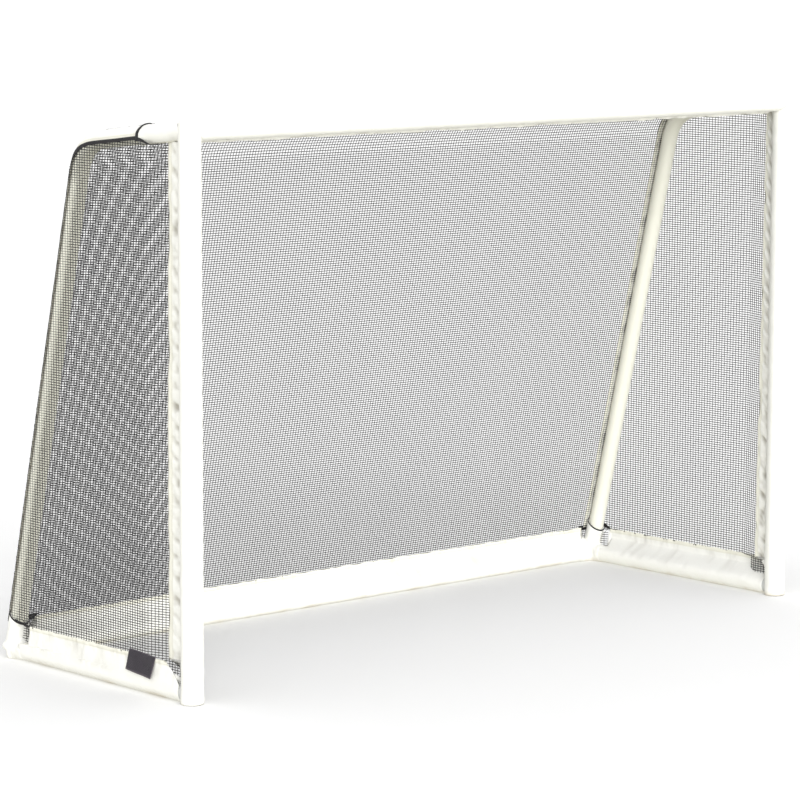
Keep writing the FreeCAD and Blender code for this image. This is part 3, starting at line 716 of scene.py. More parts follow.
def roundCorner(points, sign):
    # Rounds the outer corner where a post sleeve and the crossbar's meet.
    local = np.stack([points[..., 0] * sign - postX, points[..., 2] - topZ], -1)
    half = np.sqrt(np.clip(mainCover ** 2 - (points[..., 1] - frontY) ** 2, 0, None))
    keep = np.clip(half - cover["cornerRounding"], 0, None)
    over = local - keep[..., None]
    size = np.hypot(*np.moveaxis(np.maximum(over, 0), -1, 0))
    inside = (over[..., 0] > 0) & (over[..., 1] > 0)
    scale = np.where(inside, np.minimum(1, (half - keep) / np.maximum(size, 1e-9)), 1)
    local = np.where(inside[..., None], keep[..., None] + over * scale[..., None], local)
    rounded = points.copy()
    rounded[..., 0] = sign * (postX + local[..., 0])
    rounded[..., 2] = topZ + local[..., 1]
    return rounded


# Post and crossbar sleeves

cover = {
    "postFlange": 0.061,          # from the post's axis back to the flange's hem
    "hemAt": {"left": (0.078, 0.069), "right": (0.066, 0.050)},   # the hem from the axis: foot, top
    "meet": 0.0315,               # where the two layers are sewn together behind the tube
    "closing": 0.0400,            # reach of the flange under the crossbar
    "closingAngle": 38,           # degrees from straight down to the rear
    "roofRoot": 0.036,            # reach at which the crossbar's cloth leaves the round for the roof flange
    "openingSlack": 0.0008,       # room round the tubes that pass through the sleeves
    "layer": 0.0006,              # half a double layer
    "flangeFoot": 0.060,          # height of the flange's slanting foot beside the post
    "hemWidth": 0.0085,
    "hemSwell": 0.0006,
    "cornerRounding": 0.012,
    "mitre": 0.0001,              # pinch of the seam at the top corners
    "puckerPitch": 0.0405,
    "puckerDepth": (0.0052, 0.0062),   # left post, right post
    "puckerSlant": 0.85,
    "puckerSpan": (0.003, 0.016, 0.034, 0.054),   # from the hem: where they rise, are full and end
    "puckerEven": (0.45, 0.75),   # heights over which the right post's puckers turn regular
    "puckerEvenLeft": 0.35,       # how regular the left post's are
    "flangePuff": (0.0011, 0.0010),     # unevenness of the hem sideways, and of the hem's line
    "footPuff": 0.0009,
    "hangSway": 0.0022,           # of the flange under the crossbar
    "hangDrop": 0.0012,
    "roofLift": 0.0011,
    "roofEnd": 0.025,             # how far the roof flange ends short of a post's axis
    "cornerZone": 0.05,           # reach from a post's axis in which the crossbar's sleeve is rounded off
    "ringStep": 0.0026,
    "alongStep": 0.0040,
}


def hemShift(face, hem):
    # The folded hem stands a little proud of the flange.
    return face * cover["hemSwell"] * (1 - ramp(hem, cover["hemWidth"] * 0.8, cover["hemWidth"] * 1.2))


def postRing():
    tip, meet, layer = cover["postFlange"], cover["meet"], cover["layer"]
    start = touch((layer, meet), mainCover, -1)
    wrap = arc(mainCover, start, start - (2 * math.pi - 2 * (math.pi / 2 - start)))
    return [(layer, tip), (layer, meet)] + wrap + [(-layer, meet), (-layer, tip)]


def hemAt(side, z):
    foot, top = cover["hemAt"][side]
    return foot + (top - foot) * z / topZ


def postSleeve(side, sign):
    seed = 11 if sign < 0 else 12
    depth = cover["puckerDepth"][0 if sign < 0 else 1]
    opening = sideLiner + cover["openingSlack"]

    def starts(a, b):
        inside = (b > 0) & (np.abs(a) < opening)
        over = baseZ + np.sqrt(np.clip(opening ** 2 - a ** 2, 0, None))
        low = np.where(inside, over, 0.001)
        return np.where(b > mainCover, cover["flangeFoot"] + (b - mainCover) * 0.7, low)

    def ends(a, b):
        tube = topZ - b * math.tan(slope)
        reach = np.where(b > mainCover, sideCover + goal["gap"], opening)
        under = tube - np.sqrt(np.clip(reach ** 2 - a ** 2, 0, None)) / math.cos(slope)
        return np.where((b > 0) & (np.abs(a) < reach), np.minimum(under, topZ + a), topZ + a)

    def shape(t, a, b, hem):
        face = np.sign(a)
        rise, full, fall, end = cover["puckerSpan"]
        wide = ramp(hem, rise, full) * (1 - ramp(hem, fall, end))
        phase = (t + cover["puckerSlant"] * hem) / cover["puckerPitch"] + 0.22 * ripple(seed, t, 0, 0.30)
        wave = np.sin(2 * math.pi * phase) + 0.38 * np.sin(4 * math.pi * phase + 0.9)
        rough = ripple(seed + 20, t, hem, 0.034, 0.8) + 0.6 * ripple(seed + 30, t, hem, 0.017, 0.9)
        regular = ramp(t, *cover["puckerEven"]) if sign > 0 else cover["puckerEvenLeft"]
        relief = wave * regular + rough * (1 - regular) * 0.9
        puff = ripple(seed + 40, t, hem, 0.11, 0.6)
        loose = looseness(seed + 50, t, hem, 0.045, 0.5)
        radius = np.hypot(a, b)
        onTube = 1 - ramp(b, mainCover * 0.55, mainCover * 1.2)
        moveA = depth * wide * relief * 0.62 + hemShift(face, hem) + a / radius * loose * onTube
        sideways, line = cover["flangePuff"]
        moveA = moveA + sideways * (1 - ramp(hem, 0.002, 0.012)) * puff
        moveB = b / radius * loose * onTube
        moveB = moveB + line * (1 - ramp(hem, 0.010, 0.024)) * ripple(seed + 60, t, 0, 0.035)
        reach = (hemAt(side, t) - cover["meet"]) / (cover["postFlange"] - cover["meet"])
        moveB = moveB + np.clip(b - cover["meet"], 0, None) * (reach - 1)
        foot = 1 - ramp(t, 0.001, 0.030)
        scuffed = foot * (0.6 + ripple(seed + 70, b + a, t, 0.02)) * onTube
        moveA = moveA + face * cover["footPuff"] * scuffed
        top = 1 - ramp(topZ + a - t, 0.0, 0.010)
        moveA = moveA - a / radius * cover["mitre"] * top * onTube
        # Painted shade: the hollows of the puckers are darkened in the colour.
        fold = wide * np.clip(-face * relief, 0, 1.3) * 0.75
        return moveA, moveB, fold

    def place(t, a, b):
        return roundCorner(spread(sign * (postX + a), frontY + b, t), sign)

    sleevePiece(f"{side}_post_cover", [f"{side}_post_sleeve"], postRing(), mainLiner, starts, ends,
                (cover["ringStep"], cover["alongStep"]), place, shape)


def crossbarRing():
    layer = cover["layer"]
    closing = math.radians(cover["closingAngle"])

    def flange(reach, off):
        return (reach * math.cos(slope) + off * math.sin(slope),
                off * math.cos(slope) - reach * math.sin(slope))

    down = np.array([math.sin(closing), -math.cos(closing)])
    side = np.array([-down[1], down[0]])
    frontRoot, frontTip = down * cover["meet"] - side * layer, down * cover["closing"] - side * layer
    backRoot, backTip = down * cover["meet"] + side * layer, down * cover["closing"] + side * layer
    upper, lower = (flange(cover["roofRoot"], off) for off in (sideCover, sideLiner))
    first = touch(upper, mainCover, 1)
    last = touch(frontRoot, mainCover, -1) + 2 * math.pi
    second = touch(backRoot, mainCover, 1)
    final = touch(lower, mainCover, -1)
    ring = [flange(cover["postFlange"], sideCover), upper] + arc(mainCover, first, last)
    ring += [tuple(frontRoot), tuple(frontTip), tuple(backTip), tuple(backRoot)]
    ring += arc(mainCover, second, final) + [lower, flange(cover["postFlange"], sideLiner)]
    return ring


def crossbarSleeve():
    opening = sideLiner + cover["openingSlack"]
    closing = math.radians(cover["closingAngle"])

    def reach(a, b):
        off = a * math.sin(slope) + b * math.cos(slope)
        rear = a * math.cos(slope) - b * math.sin(slope)
        beside = postX - np.sqrt(np.clip(opening ** 2 - off ** 2, 0, None))
        end = np.where((rear > 0) & (np.abs(off) < opening), np.minimum(beside, postX + b), postX + b)
        end = np.where(rear > mainCover, postX - cover["roofEnd"], end)
        hang = a * math.sin(closing) - b * math.cos(closing)
        return np.where(hang > mainCover + 0.001, postX - mainCover - goal["gap"], end)

    def shape(t, a, b, hem):
        hang = a * math.sin(closing) - b * math.cos(closing)
        aside = a * math.cos(closing) + b * math.sin(closing)
        rear = a * math.cos(slope) - b * math.sin(slope)
        onHang = ramp(hang, 0.021, 0.036) * (rear < 0.040)
        onRoof = ramp(rear, 0.028, 0.040)
        gather = ripple(72, t, hang, 0.055, 1.2) + 0.5 * ripple(73, t, hang, 0.020, 1.0)
        radius = np.hypot(a, b)
        onTube = (1 - onHang) * (1 - onRoof)
        loose = looseness(74, t, np.arctan2(b, a) * mainCover, 0.060, 0.6) * onTube
        inner = 1 - ramp(np.abs(t), postX - 0.06, postX - 0.03)
        sway = cover["hangSway"] * gather * onHang * inner
        drop = cover["hangDrop"] * ripple(75, t, 0, 0.075) * ramp(hang, 0.030, 0.040) * inner
        moveA = a / radius * loose + sway * math.cos(closing) + drop * math.sin(closing)
        moveB = b / radius * loose + sway * math.sin(closing) - drop * math.cos(closing)
        lift = cover["roofLift"] * ripple(76, t, rear, 0.05, 0.7) * ramp(rear, 0.034, 0.055)
        moveA = moveA + lift * math.sin(slope)
        moveB = moveB + lift * math.cos(slope)
        nearEnd = 1 - ramp(postX + b - np.abs(t), 0.0, 0.010)
        moveB = moveB - b / radius * cover["mitre"] * nearEnd * onTube
        # Painted shade in the hollows of the gathers under the crossbar.
        fold = np.clip(-np.sign(aside) * gather, 0, 1.2) * onHang * 0.42 * inner
        return moveA, moveB, fold

    def place(t, a, b):
        points = spread(t, frontY + a, topZ + b)
        for sign in (-1, 1):
            near = points[..., :1] * sign > postX - cover["cornerZone"]
            points = np.where(near, roundCorner(points, sign), points)
        return points

    buttons = [f"{word}_button" for word in ("crossbar_middle", "left_crossbar", "right_crossbar")]
    sleevePiece("crossbar_cover", ["crossbar_sleeve"], crossbarRing(), mainLiner,
                lambda a, b: -reach(a, b), reach,
                (cover["ringStep"], cover["alongStep"] * 1.15), place, shape,
                [(button, np.array([0.0, 0, -1])) for button in buttons])


for side, sign in sides:
    postSleeve(side, sign)
crossbarSleeve()
print("post and crossbar sleeves made")


# Ground bands

band = {
    "notch": {"left": 0.084, "right": 0.050},       # from the rear bar's axis to a side band's rear end
    "rearNotch": {"left": 0.060, "right": 0.035},   # from the side bar's axis to the rear band's end
    "notchSlant": {"left": 0.20, "right": -0.30},
    "rearSlant": 0.52,
    "notchFoot": 0.0415,
    "tuck": 0.004,                # how far a band runs into the corner pocket below the notch
    "cut": 0.045,                 # the left band's upper front corner is cut back by this beside the post
    "cutFrom": 0.035,             # height at which the cut begins
    "cutRise": 0.050,
    "cutCurve": 1.8,
    "meet": 0.040,                # height over the bar's axis where the layers are sewn together
    "inner": 0.0188,
    "wrinkle": 0.0016,
    "hemWave": 0.0010,
    "ringStep": 0.0030,
    "alongStep": 0.0042,
}


def bandRing():
    top = bandTop - baseZ
    root = (band["inner"], band["meet"])
    last = touch(root, sideCover, 1) - 2 * math.pi
    return [(sideCover, top), (sideCover, 0.004)] + arc(sideCover, -0.05, last) + [root, (band["inner"], top)]


def bandShape(seed):
    def shape(t, a, b, hem):
        top = bandTop - baseZ
        outside = np.where(a > 0.5 * (sideCover + band["inner"]), 1.0, -1.0)
        flange = ramp(b, 0.000, 0.014)
        gather = ripple(seed, t, 0.35 * b, 0.013) * np.exp(-np.clip(top - b - 0.004, 0, None) / 0.013)
        patches = ramp(ripple(seed + 6, t, b, 0.10), -0.3, 0.6)
        long = 0.45 * ripple(seed + 1, t, b, 0.075, 0.35) + 0.35 * ripple(seed + 2, t, b, 0.032, 0.45)
        long = long + 0.6 * (ripple(seed + 5, t + 0.25 * b, 0.12 * b, 0.021) * patches)
        belly = flange * (1 - ramp(b, top - 0.012, top))
        relief = band["wrinkle"] * belly * long + band["wrinkle"] * 0.75 * gather * ramp(b, 0.01, 0.03)
        hemFold = outside * 0.0004 * ramp(b, top - 0.010, top - 0.006)
        onTube = 1 - flange
        radius = np.hypot(a, b)
        loose = looseness(seed + 3, t, np.arctan2(b, a) * sideCover, 0.05, 0.7) * onTube
        moveA = relief + hemFold + a / radius * loose
        moveB = np.maximum(b / radius * loose, -0.0004)
        moveB = moveB + band["hemWave"] * ripple(seed + 4, t, 0, 0.045) * ramp(b, top - 0.012, top)
        # Painted shade in the hollows of the band's wrinkles.
        fold = np.clip(-outside * (long * belly + gather * 0.9), 0, 1.2) * 0.30
        return moveA, moveB, fold
    return shape


def bandRear(side, z):
    # The end of a side band slants beside the backstay above the corner pocket.
    slant = rearY - band["notch"][side] + band["notchSlant"][side] * (bandTop - z)
    return np.where(z > band["notchFoot"], slant, notchY + band["tuck"])


def bandFront(side, z):
    cut = band["cut"] if side == "left" else 0
    rise = np.clip((z - band["cutFrom"]) / band["cutRise"], 0, None)
    return frontY + mainCover + goal["gap"] + cut * rise ** band["cutCurve"]


def rearBandEnd(side, z):
    slant = postX - band["rearNotch"][side] + band["rearSlant"] * (bandTop - z)
    return np.where(z > band["notchFoot"], slant, postX - goal["cornerPocket"] + band["tuck"])


def backPlace(t, off, rise):
    # Points at t across the goal, off the rear bar's axis to the rear and up along the backstays.
    t, off, rise = np.broadcast_arrays(t, off, rise)
    points = baseCentre + off[..., None] * backOut - rise[..., None] * backAlong
    points[..., 0] = t
    return points


def backRise(height):
    # Distance up the cloth from the rear bar's axis at which it reaches a height.
    return (height - baseZ) / math.cos(lean) - sideLiner * math.tan(lean)


def groundBands():
    steps = (band["ringStep"], band["alongStep"])
    for side, sign in sides:
        sleevePiece(f"{side}_band_cover", [f"{side}_ground_band"], bandRing(), sideLiner,
                    lambda a, b: bandFront(side, baseZ + b),
                    lambda a, b: bandRear(side, baseZ + b), steps,
                    lambda t, a, b: spread(sign * (postX + a), t, baseZ + b), bandShape(210 + sign * 5))
    taller = backRise(bandTop) / (bandTop - baseZ)
    ring = [(a, b * taller) if b > 0.03 else (a, b) for a, b in bandRing()]
    sleevePiece("rear_band_cover", ["rear_ground_band"], ring, sideLiner,
                lambda a, b: -rearBandEnd("left", baseZ + b),
                lambda a, b: rearBandEnd("right", baseZ + b), steps,
                backPlace, bandShape(240), [("rear_bar_middle_button", np.array([0.0, 1, 0]))])


groundBands()
print("ground bands made")


# Side tubes' cover: cuffs, corner pockets and edge strips

cuff = {
    "mouthTop": 0.135,            # from the crossbar's axis along the depth tube
    "mouthUnder": 0.156,
    "wrinkle": 0.0006,
    "lift": 0.0005,
    "flare": 0.0009,              # opening of the cuff towards its mouth
    "boundFrom": (-0.45, 3.6),    # turn round the tube over which the edging shows, radians
    "binding": 0.0070,            # width of the black edging round the mouth
    "bindingLifts": (0.0034, 0.0010),   # of its two faces over the cuff
    "bindingPast": 0.002,         # how far its middle lies past the mouth
}


def sidePlace(sign):
    def place(t, a, b):
        centre, out, _ = sideFrame(t)
        points = centre + out * b[..., None]
        points[..., 0] = sign * (postX + a)
        return points
    return place


def mouthAt(b):
    # Distance along the tube of the cuff's mouth; it runs slanting down to the rear in a soft curve.
    down = (1 - b / sideCover) / 2
    curve = down + 0.10 * np.sin(down * 2 * math.pi)
    return cuff["mouthTop"] + (cuff["mouthUnder"] - cuff["mouthTop"]) * curve


def cuffStart(a, b):
    # Where the cuff meets the round of the post's and the crossbar's sleeves.
    one = np.where((a > 0) & (b > 0), np.maximum(a, b), np.minimum(np.abs(a), np.abs(b)))
    one = np.where((a > 0) & (b < 0), a, np.where((a < 0) & (b > 0), b, one))
    return (np.sqrt(mainCover ** 2 - one ** 2) - 0.0012) / math.cos(slope) + b * math.tan(slope)


def mouthBinding(name, sign, turns, width, half, lifts, mouth):
    # Edging round a side tube: width is the distance across it, mouth gives its middle's run at b.
    rings = [((sideCover + lift) * np.cos(turns), (sideCover + lift) * np.sin(turns)) for lift in lifts]
    layers = [sidePlace(sign)(mouth(b) + width, a, b) for a, b in rings]
    slabPiece(name, "black_tape", [], *layers, turns * sideCover, half - np.abs(width), 0)


def cuffPieces():
    ring = arc(sideCover, -math.pi / 2, 1.5 * math.pi - 0.02)
    turns = np.linspace(*cuff["boundFrom"], 49)
    taper = np.sin(np.linspace(0.5, 0.3, 49) * math.pi)
    width = np.linspace(-0.5, 0.5, 4)[:, None] * cuff["binding"] * taper
    for side, sign in sides:
        seed = 300 + sign * 7

        def shape(t, a, b, hem):
            crease = ripple(seed, t, np.arctan2(b, a) * sideCover, 0.05, 0.8)
            loose = cuff["wrinkle"] * crease + cuff["lift"]
            flare = cuff["flare"] * ramp(t, mouthAt(b) - 0.012, mouthAt(b))
            # Painted shade in the cuff's creases.
            fold = np.clip(-crease, 0, 1) * 0.12
            return a / sideCover * (loose + flare), b / sideCover * (loose + flare), fold

        sleevePiece(f"{side}_cuff_cover", [f"{side}_cuff"], ring, sideLiner,
                    cuffStart, lambda a, b: mouthAt(b),
                    (0.0030, 0.0035), sidePlace(sign), shape, [(f"{side}_side_tube_button", -roofOut)])
        mouthBinding(f"{side}_cuff_binding", sign, turns, width, cuff["binding"] / 2, cuff["bindingLifts"],
                     lambda b: mouthAt(b) + cuff["bindingPast"])


strip = {
    "inboard": 0.025,             # reach inboard of the side tube's axis
    "corner": 0.0145,             # radius over the tube's outer shoulder
    "roofSeam": 0.005,
    "backSeam": 0.015,
    "endHeight": 0.080,
    "wrinkle": 0.0007,
    "thick": 0.0011,
    "tape": 0.0078,
    "roofTape": 0.0042,           # from the strip's inboard edge to the roof tape's middle
    "end": 0.097,                 # where the side tape's front end comes out under the cuff
    "endPast": 0.022,             # how far the end runs on past the mouth's top
    "endLow": -0.0245,            # its height off the tube's axis at the front
    "endClimb": 0.0165,
}


def stripSection(length, lift):
    # Point (outboard, outward) of the strip's section at a length from its inboard edge.
    flat = strip["inboard"] + sideCover - strip["corner"]
    quarter = strip["corner"] * math.pi / 2
    turn = np.clip((length - flat) / strip["corner"], 0, math.pi / 2)
    past = np.clip(length - flat - quarter, 0, None)
    a = np.minimum(length, flat) - strip["inboard"] + (strip["corner"] + lift) * np.sin(turn)
    b = sideCover - strip["corner"] + (strip["corner"] + lift) * np.cos(turn) - past
    return a, b


def seamLength(run):
    # Length across the strip at which the seam with the side net lies.
    share = ramp(run, bendStart, bendEnd)
    height = -strip["roofSeam"] * (1 - share) + strip["backSeam"] * share
    flat = strip["inboard"] + sideCover - strip["corner"]
    level = sideCover - strip["corner"]
    turn = np.arccos(np.clip((height - level) / strip["corner"], 0, 1))
    return flat + strip["corner"] * turn + np.clip(level - height, 0, None)


def stripStart(length):
    # The strip begins along the cuff's mouth, under its black edging.
    return mouthAt(stripSection(length, 0)[1]) - 0.001


def onStrip(sign, run, length, lift):
    a, b = stripSection(length, lift)
    return sidePlace(sign)(run, a, b)


def edgeStrips():
    end = backRun(strip["endHeight"])
    share = np.linspace(0, 1, 26)[None, :]
    start = stripStart(seamLength(cuff["mouthTop"]) * share)
    runs = start + (end - start) * np.linspace(0, 1, 300)[:, None]
    length = seamLength(runs) * share
    for side, sign in sides:
        seed = 330 + sign * 7
        crease = ripple(seed, runs, length, 0.06, 0.7) + 0.5 * ripple(seed + 1, runs, length, 0.022)
        relief = np.clip(strip["wrinkle"] * crease, -0.0002, 0.002)
        lift = 0.0002 + relief * np.sin(share * math.pi) ** 0.7
        # The third cloth value is painted shade in the strip's creases.
        slabPiece(f"{side}_edge_cover", "white_vinyl", [f"{side}_edge_strip"],
                  onStrip(sign, runs, length, lift), onStrip(sign, runs, length, lift - strip["thick"]),
                  runs, np.minimum(length, seamLength(runs) - length), np.clip(-crease, 0, 1) * 0.10)


def edgeTapes():
    across = np.linspace(-0.5, 0.5, 7)[None, :] * strip["tape"]
    end = backRun(strip["endHeight"])
    for side, sign in sides:
        start = stripStart(seamLength(cuff["mouthTop"]) + across)
        runs = start + (end - start) * np.linspace(0, 1, 260)[:, None]
        sway = 0.0006 * ripple(350 + sign, runs, 0, 0.12)
        length = seamLength(runs) + across + sway
        swell = 0.0004 + 0.0003 * ripple(352 + sign, runs, across, 0.03)
        tapePiece(f"{side}_seam_tape", [f"{side}_edge_tape"], onStrip(sign, runs, length, 0.0012 + swell),
                  onStrip(sign, runs, length, 0.0007), runs, across)
        topRuns = np.linspace(cuff["mouthTop"], bendEnd, 120)[:, None]
        length = across + strip["roofTape"] + 0.0006 * ripple(354 + sign, topRuns, 0, 0.12)
        tapePiece(f"{side}_roof_tape", [f"{side}_edge_tape"], onStrip(sign, topRuns, length, 0.0020),
                  onStrip(sign, topRuns, length, 0.0009), topRuns, across)
        # The tape's front end runs out under the cuff.
        runs = np.linspace(strip["end"], cuff["mouthTop"] + strip["endPast"], 24)[:, None]
        share = ramp(runs, strip["end"], cuff["mouthTop"] + 0.016)
        width = across * (0.12 + 0.95 * share)
        b = strip["endLow"] + strip["endClimb"] * share + width
        a = sideCover + 0.0009 - 0.0030 * (1 - share)
        tapePiece(f"{side}_tape_end", [f"{side}_edge_tape"], sidePlace(sign)(runs, a + 0.0008, b),
                  sidePlace(sign)(runs, a, b), runs, across)


pocket = {
    "mouthFront": 0.085,          # height of the mouth at the backstay's front
    "mouthRear": 0.103,
    "voxel": 0.0022,
    "wrinkle": 0.0010,
    "heel": 0.0115,               # swell of the outer bottom corner
    "heelAt": (0.014, 0.014, -0.010),   # its middle outward, to the rear and up from the tubes' corner
    "heelSpread": 0.020,
    "sole": 0.009,                # sag of the bottom to the ground
    "soleSpread": 0.030,
    "lowest": 0.0006,
    "binding": 0.0032,
    "bindingLifts": (0.0026, 0.0012),
}


def tubeMesh(start, end, radius, slant=0, count=40):
    # Points and faces of a closed round bar; slant tips its end cap up towards the rear.
    way = (end - start) / np.linalg.norm(end - start)
    first = np.cross(way, (0.31, 0.52, 0.79))
    first /= np.linalg.norm(first)
    second = np.cross(way, first)
    turn = np.arange(count) * 2 * math.pi / count
    ring = radius * (np.cos(turn)[:, None] * first + np.sin(turn)[:, None] * second)
    tip = end + ring
    points = [start + ring, tip + ((tip[:, 1] - end[1]) * slant)[:, None] * way]
    points = np.concatenate(points + [[start], [points[1].mean(0)]])
    index = np.arange(count)
    following = (index + 1) % count
    walls = [[i, j, j + count, i + count] for i, j in zip(index, following)]
    caps = [[j, i, 2 * count] for i, j in zip(index, following)]
    caps += [[i + count, j + count, 2 * count + 1] for i, j in zip(index, following)]
    return points, walls + caps


def softSkin(bars):
    # Points, normals and quads of one soft skin grown over closed bars.
    points, faces, count = [], [], 0
    for barPoints, barFaces in bars:
        points.append(barPoints)
        faces += [[index + count for index in face] for face in barFaces]
        count += len(barPoints)
    mesh = bpy.data.meshes.new("blank")
    mesh.from_pydata(np.concatenate(points).tolist(), [], faces)
    blank = put("pocket_blank", mesh)
    remesh = blank.modifiers.new("skin", "REMESH")
    remesh.mode = "VOXEL"
    remesh.voxel_size = pocket["voxel"]
    smooth = blank.modifiers.new("soft", "SMOOTH")
    smooth.factor = 0.5
    smooth.iterations = 7
    made = bpy.data.meshes.new_from_object(blank.evaluated_get(bpy.context.evaluated_depsgraph_get()))
    bpy.data.objects.remove(blank)
    skin = []
    for key in ("co", "normal"):
        values = np.empty(len(made.vertices) * 3)
        made.vertices.foreach_get(key, values)
        skin.append(values.reshape(-1, 3))
    skin.append(np.array([list(face.vertices) for face in made.polygons if len(face.vertices) == 4]))
    bpy.data.meshes.remove(made)
    return skin


def cornerPockets():
    mouthSlant = (pocket["mouthRear"] - pocket["mouthFront"]) / (2 * sideCover)
    mouthMiddle = (pocket["mouthFront"] + pocket["mouthRear"]) / 2
    mouthRun = backRun(mouthMiddle)
    turns = np.linspace(0, 2 * math.pi, 41)
    width = np.linspace(-0.5, 0.5, 4)[:, None] * pocket["binding"]
    reach = goal["cornerPocket"]
    radius = sideCover + 0.0006
    for side, sign in sides:
        seed = 360 + sign * 7
        corner = np.array([sign * postX, rearY, baseZ])
        stay = corner - backAlong * (mouthMiddle - baseZ) / math.cos(lean)
        place, normal, quads = softSkin([
            tubeMesh(corner, corner + (0, -reach, 0), radius),
            tubeMesh(corner, corner + (-sign * reach, 0, 0), radius),
            tubeMesh(corner, stay, radius + 0.0012, mouthSlant),
        ])
        local = place - corner
        x, y, z = local.T
        creases = ripple(seed, x * sign - y, z * 1.4, 0.030) + 0.5 * ripple(seed + 1, x + y, z, 0.014)
        heelAt = np.array(pocket["heelAt"]) * (sign, 1, 1)
        heel = np.exp(-((local - heelAt) ** 2).sum(1) / pocket["heelSpread"] ** 2)
        shift = pocket["wrinkle"] * (creases + 0.8) * 0.6 + pocket["heel"] * heel
        moved = place + normal * shift[:, None]
        sole = np.exp(-(local[:, :2] ** 2).sum(1) / pocket["soleSpread"] ** 2) * ramp(-z, 0.004, 0.016)
        moved[:, 2] = np.maximum(moved[:, 2] - pocket["sole"] * sole, pocket["lowest"])
        # The third cloth value is painted shade in the pocket's creases.
        addPiece(f"{side}_pocket_cover", moved, quads, "white_vinyl", [f"{side}_corner_pocket"],
                 spread(x - y, 0.03, np.clip(-creases, 0, 1) * 0.22))
        mouthBinding(f"{side}_pocket_binding", sign, turns, width, pocket["binding"] / 2,
                     pocket["bindingLifts"],
                     lambda b: mouthRun - mouthSlant * b * math.cos(lean) - 0.0005)


cuffPieces()
edgeStrips()
edgeTapes()
cornerPockets()
print("side covers made")


# Band tapes, corner straps and the tag

trim = {
    "bandTape": 0.0028,           # height of tape between the two plies of a band's hem
    "bandTapeShows": {"left": 0.0, "right": 0.0012},   # how far it shows over the hem at the rear
    "bandTapeSunk": 0.0006,       # how far it is sunk elsewhere
    "strap": 0.0115,
    "strapRise": 0.0815,
    "strapClimb": 0.008,          # rise of a side strap from the band to the backstay
    "sideStrap": {"left": (0.0010, 0.0030), "right": (0.0012, 0.0115)},   # width at the band, at the backstay
    "tagSize": (0.086, 0.046),
    "tagCorners": ((0.182, 0.093), (0.094, 0.088), (0.111, 0.038), (0.197, 0.046)),
}


def bandTapes():
    half = trim["bandTape"] / 2
    across = np.linspace(-half, half, 5)[None, :]
    for side, sign in sides:
        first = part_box(f"{side}_band_tape")[0][1]
        last = float(bandRear(side, bandTop)) - 0.003
        t = np.linspace(first, last, 110)[:, None]
        bared = ramp(t, last - 0.25, last) + 2 * ramp(t, first + 0.030, first)
        show = trim["bandTapeShows"][side] * bared - trim["bandTapeSunk"]
        z = bandTop - half + show + across + 0.0004 * ripple(400 + sign, t, 0, 0.04)
        off = postX + band["inner"] + 0.0012
        layers = [spread(sign * x, t, z) for x in (off, off - 0.0008)]
        tapePiece(f"{side}_band_seam_tape", [f"{side}_band_tape"], *layers, t, across)
    low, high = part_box("rear_band_tape")
    t = np.linspace(low[0], high[0], 260)[:, None]
    rise = backRise(bandTop - 0.0005) - half + 0.0010 + across + 0.0004 * ripple(403, t, 0, 0.05)
    layers = [backPlace(t, sideCover + off, rise) for off in (-0.0003, -0.0010)]
    tapePiece("rear_band_seam_tape", ["rear_band_tape"], *layers, t, across)


def cornerStraps():
    # Short tapes bridge the notches between the backstays and the bands.
    across = np.linspace(-0.5, 0.5, 5)[None, :]
    share = np.linspace(0, 1, 14)[:, None]
    stay = rearY - (trim["strapRise"] - baseZ) * math.tan(lean) - 0.012
    rise = backRise(trim["strapRise"]) + trim["strap"] * across
    for side, sign in sides:
        first, last = trim["sideStrap"][side]
        front = rearY - band["notch"][side] - 0.004
        t = front + (stay - front) * share
        z = bandTop - 0.0015 + trim["strapClimb"] * share + (first + (last - first) * share) * across
        layers = [spread(sign * (postX + sideLiner + off), t, z) for off in (0.0004, -0.0006)]
        tapePiece(f"{side}_side_strap", [f"{side}_corner_strap"], *layers, t, trim["strap"] * across)
        t = np.linspace(postX - band["rearNotch"][side] - 0.005, postX - 0.008, 14)[:, None]
        layers = [backPlace(sign * t, sideCover + off, rise) for off in (0.0018, 0.0008)]
        tapePiece(f"{side}_rear_strap", [f"{side}_corner_strap"], *layers, t, trim["strap"] * across)


def blankTag():
    u = np.linspace(0, 1, 34)[:, None]
    v = np.linspace(0, 1, 22)[None, :]
    corners = np.array(trim["tagCorners"]) + (frontY, 0)
    upper = corners[1] + (corners[0] - corners[1]) * u[..., None]
    lower = corners[2] + (corners[3] - corners[2]) * u[..., None]
    y, z = np.moveaxis(upper + (lower - upper) * v[..., None], -1, 0)
    lifted = 0.0020 * ramp(v, 0.45, 1.0) * (0.6 + 0.6 * np.sin(u * 5.2 + 0.8))
    curl = lifted + 0.0012 * np.sin(u * 7 + v * 3)
    footFold = ramp(v, 0.90, 0.92)
    layers = [spread(-(postX + sideCover + off + curl), y, z) for off in (0.0026 + 0.0005 * footFold, 0.0015)]
    wide, high = trim["tagSize"]
    edge = np.minimum(np.minimum(u, 1 - u) * wide, np.minimum(v, 1 - v) * high)
    slabPiece("tag_label", "tag_weave", ["blank_tag"], *layers, u * wide, edge, footFold * 0.8)


bandTapes()
cornerStraps()
blankTag()
print("tapes, straps and tag made")


# Nets

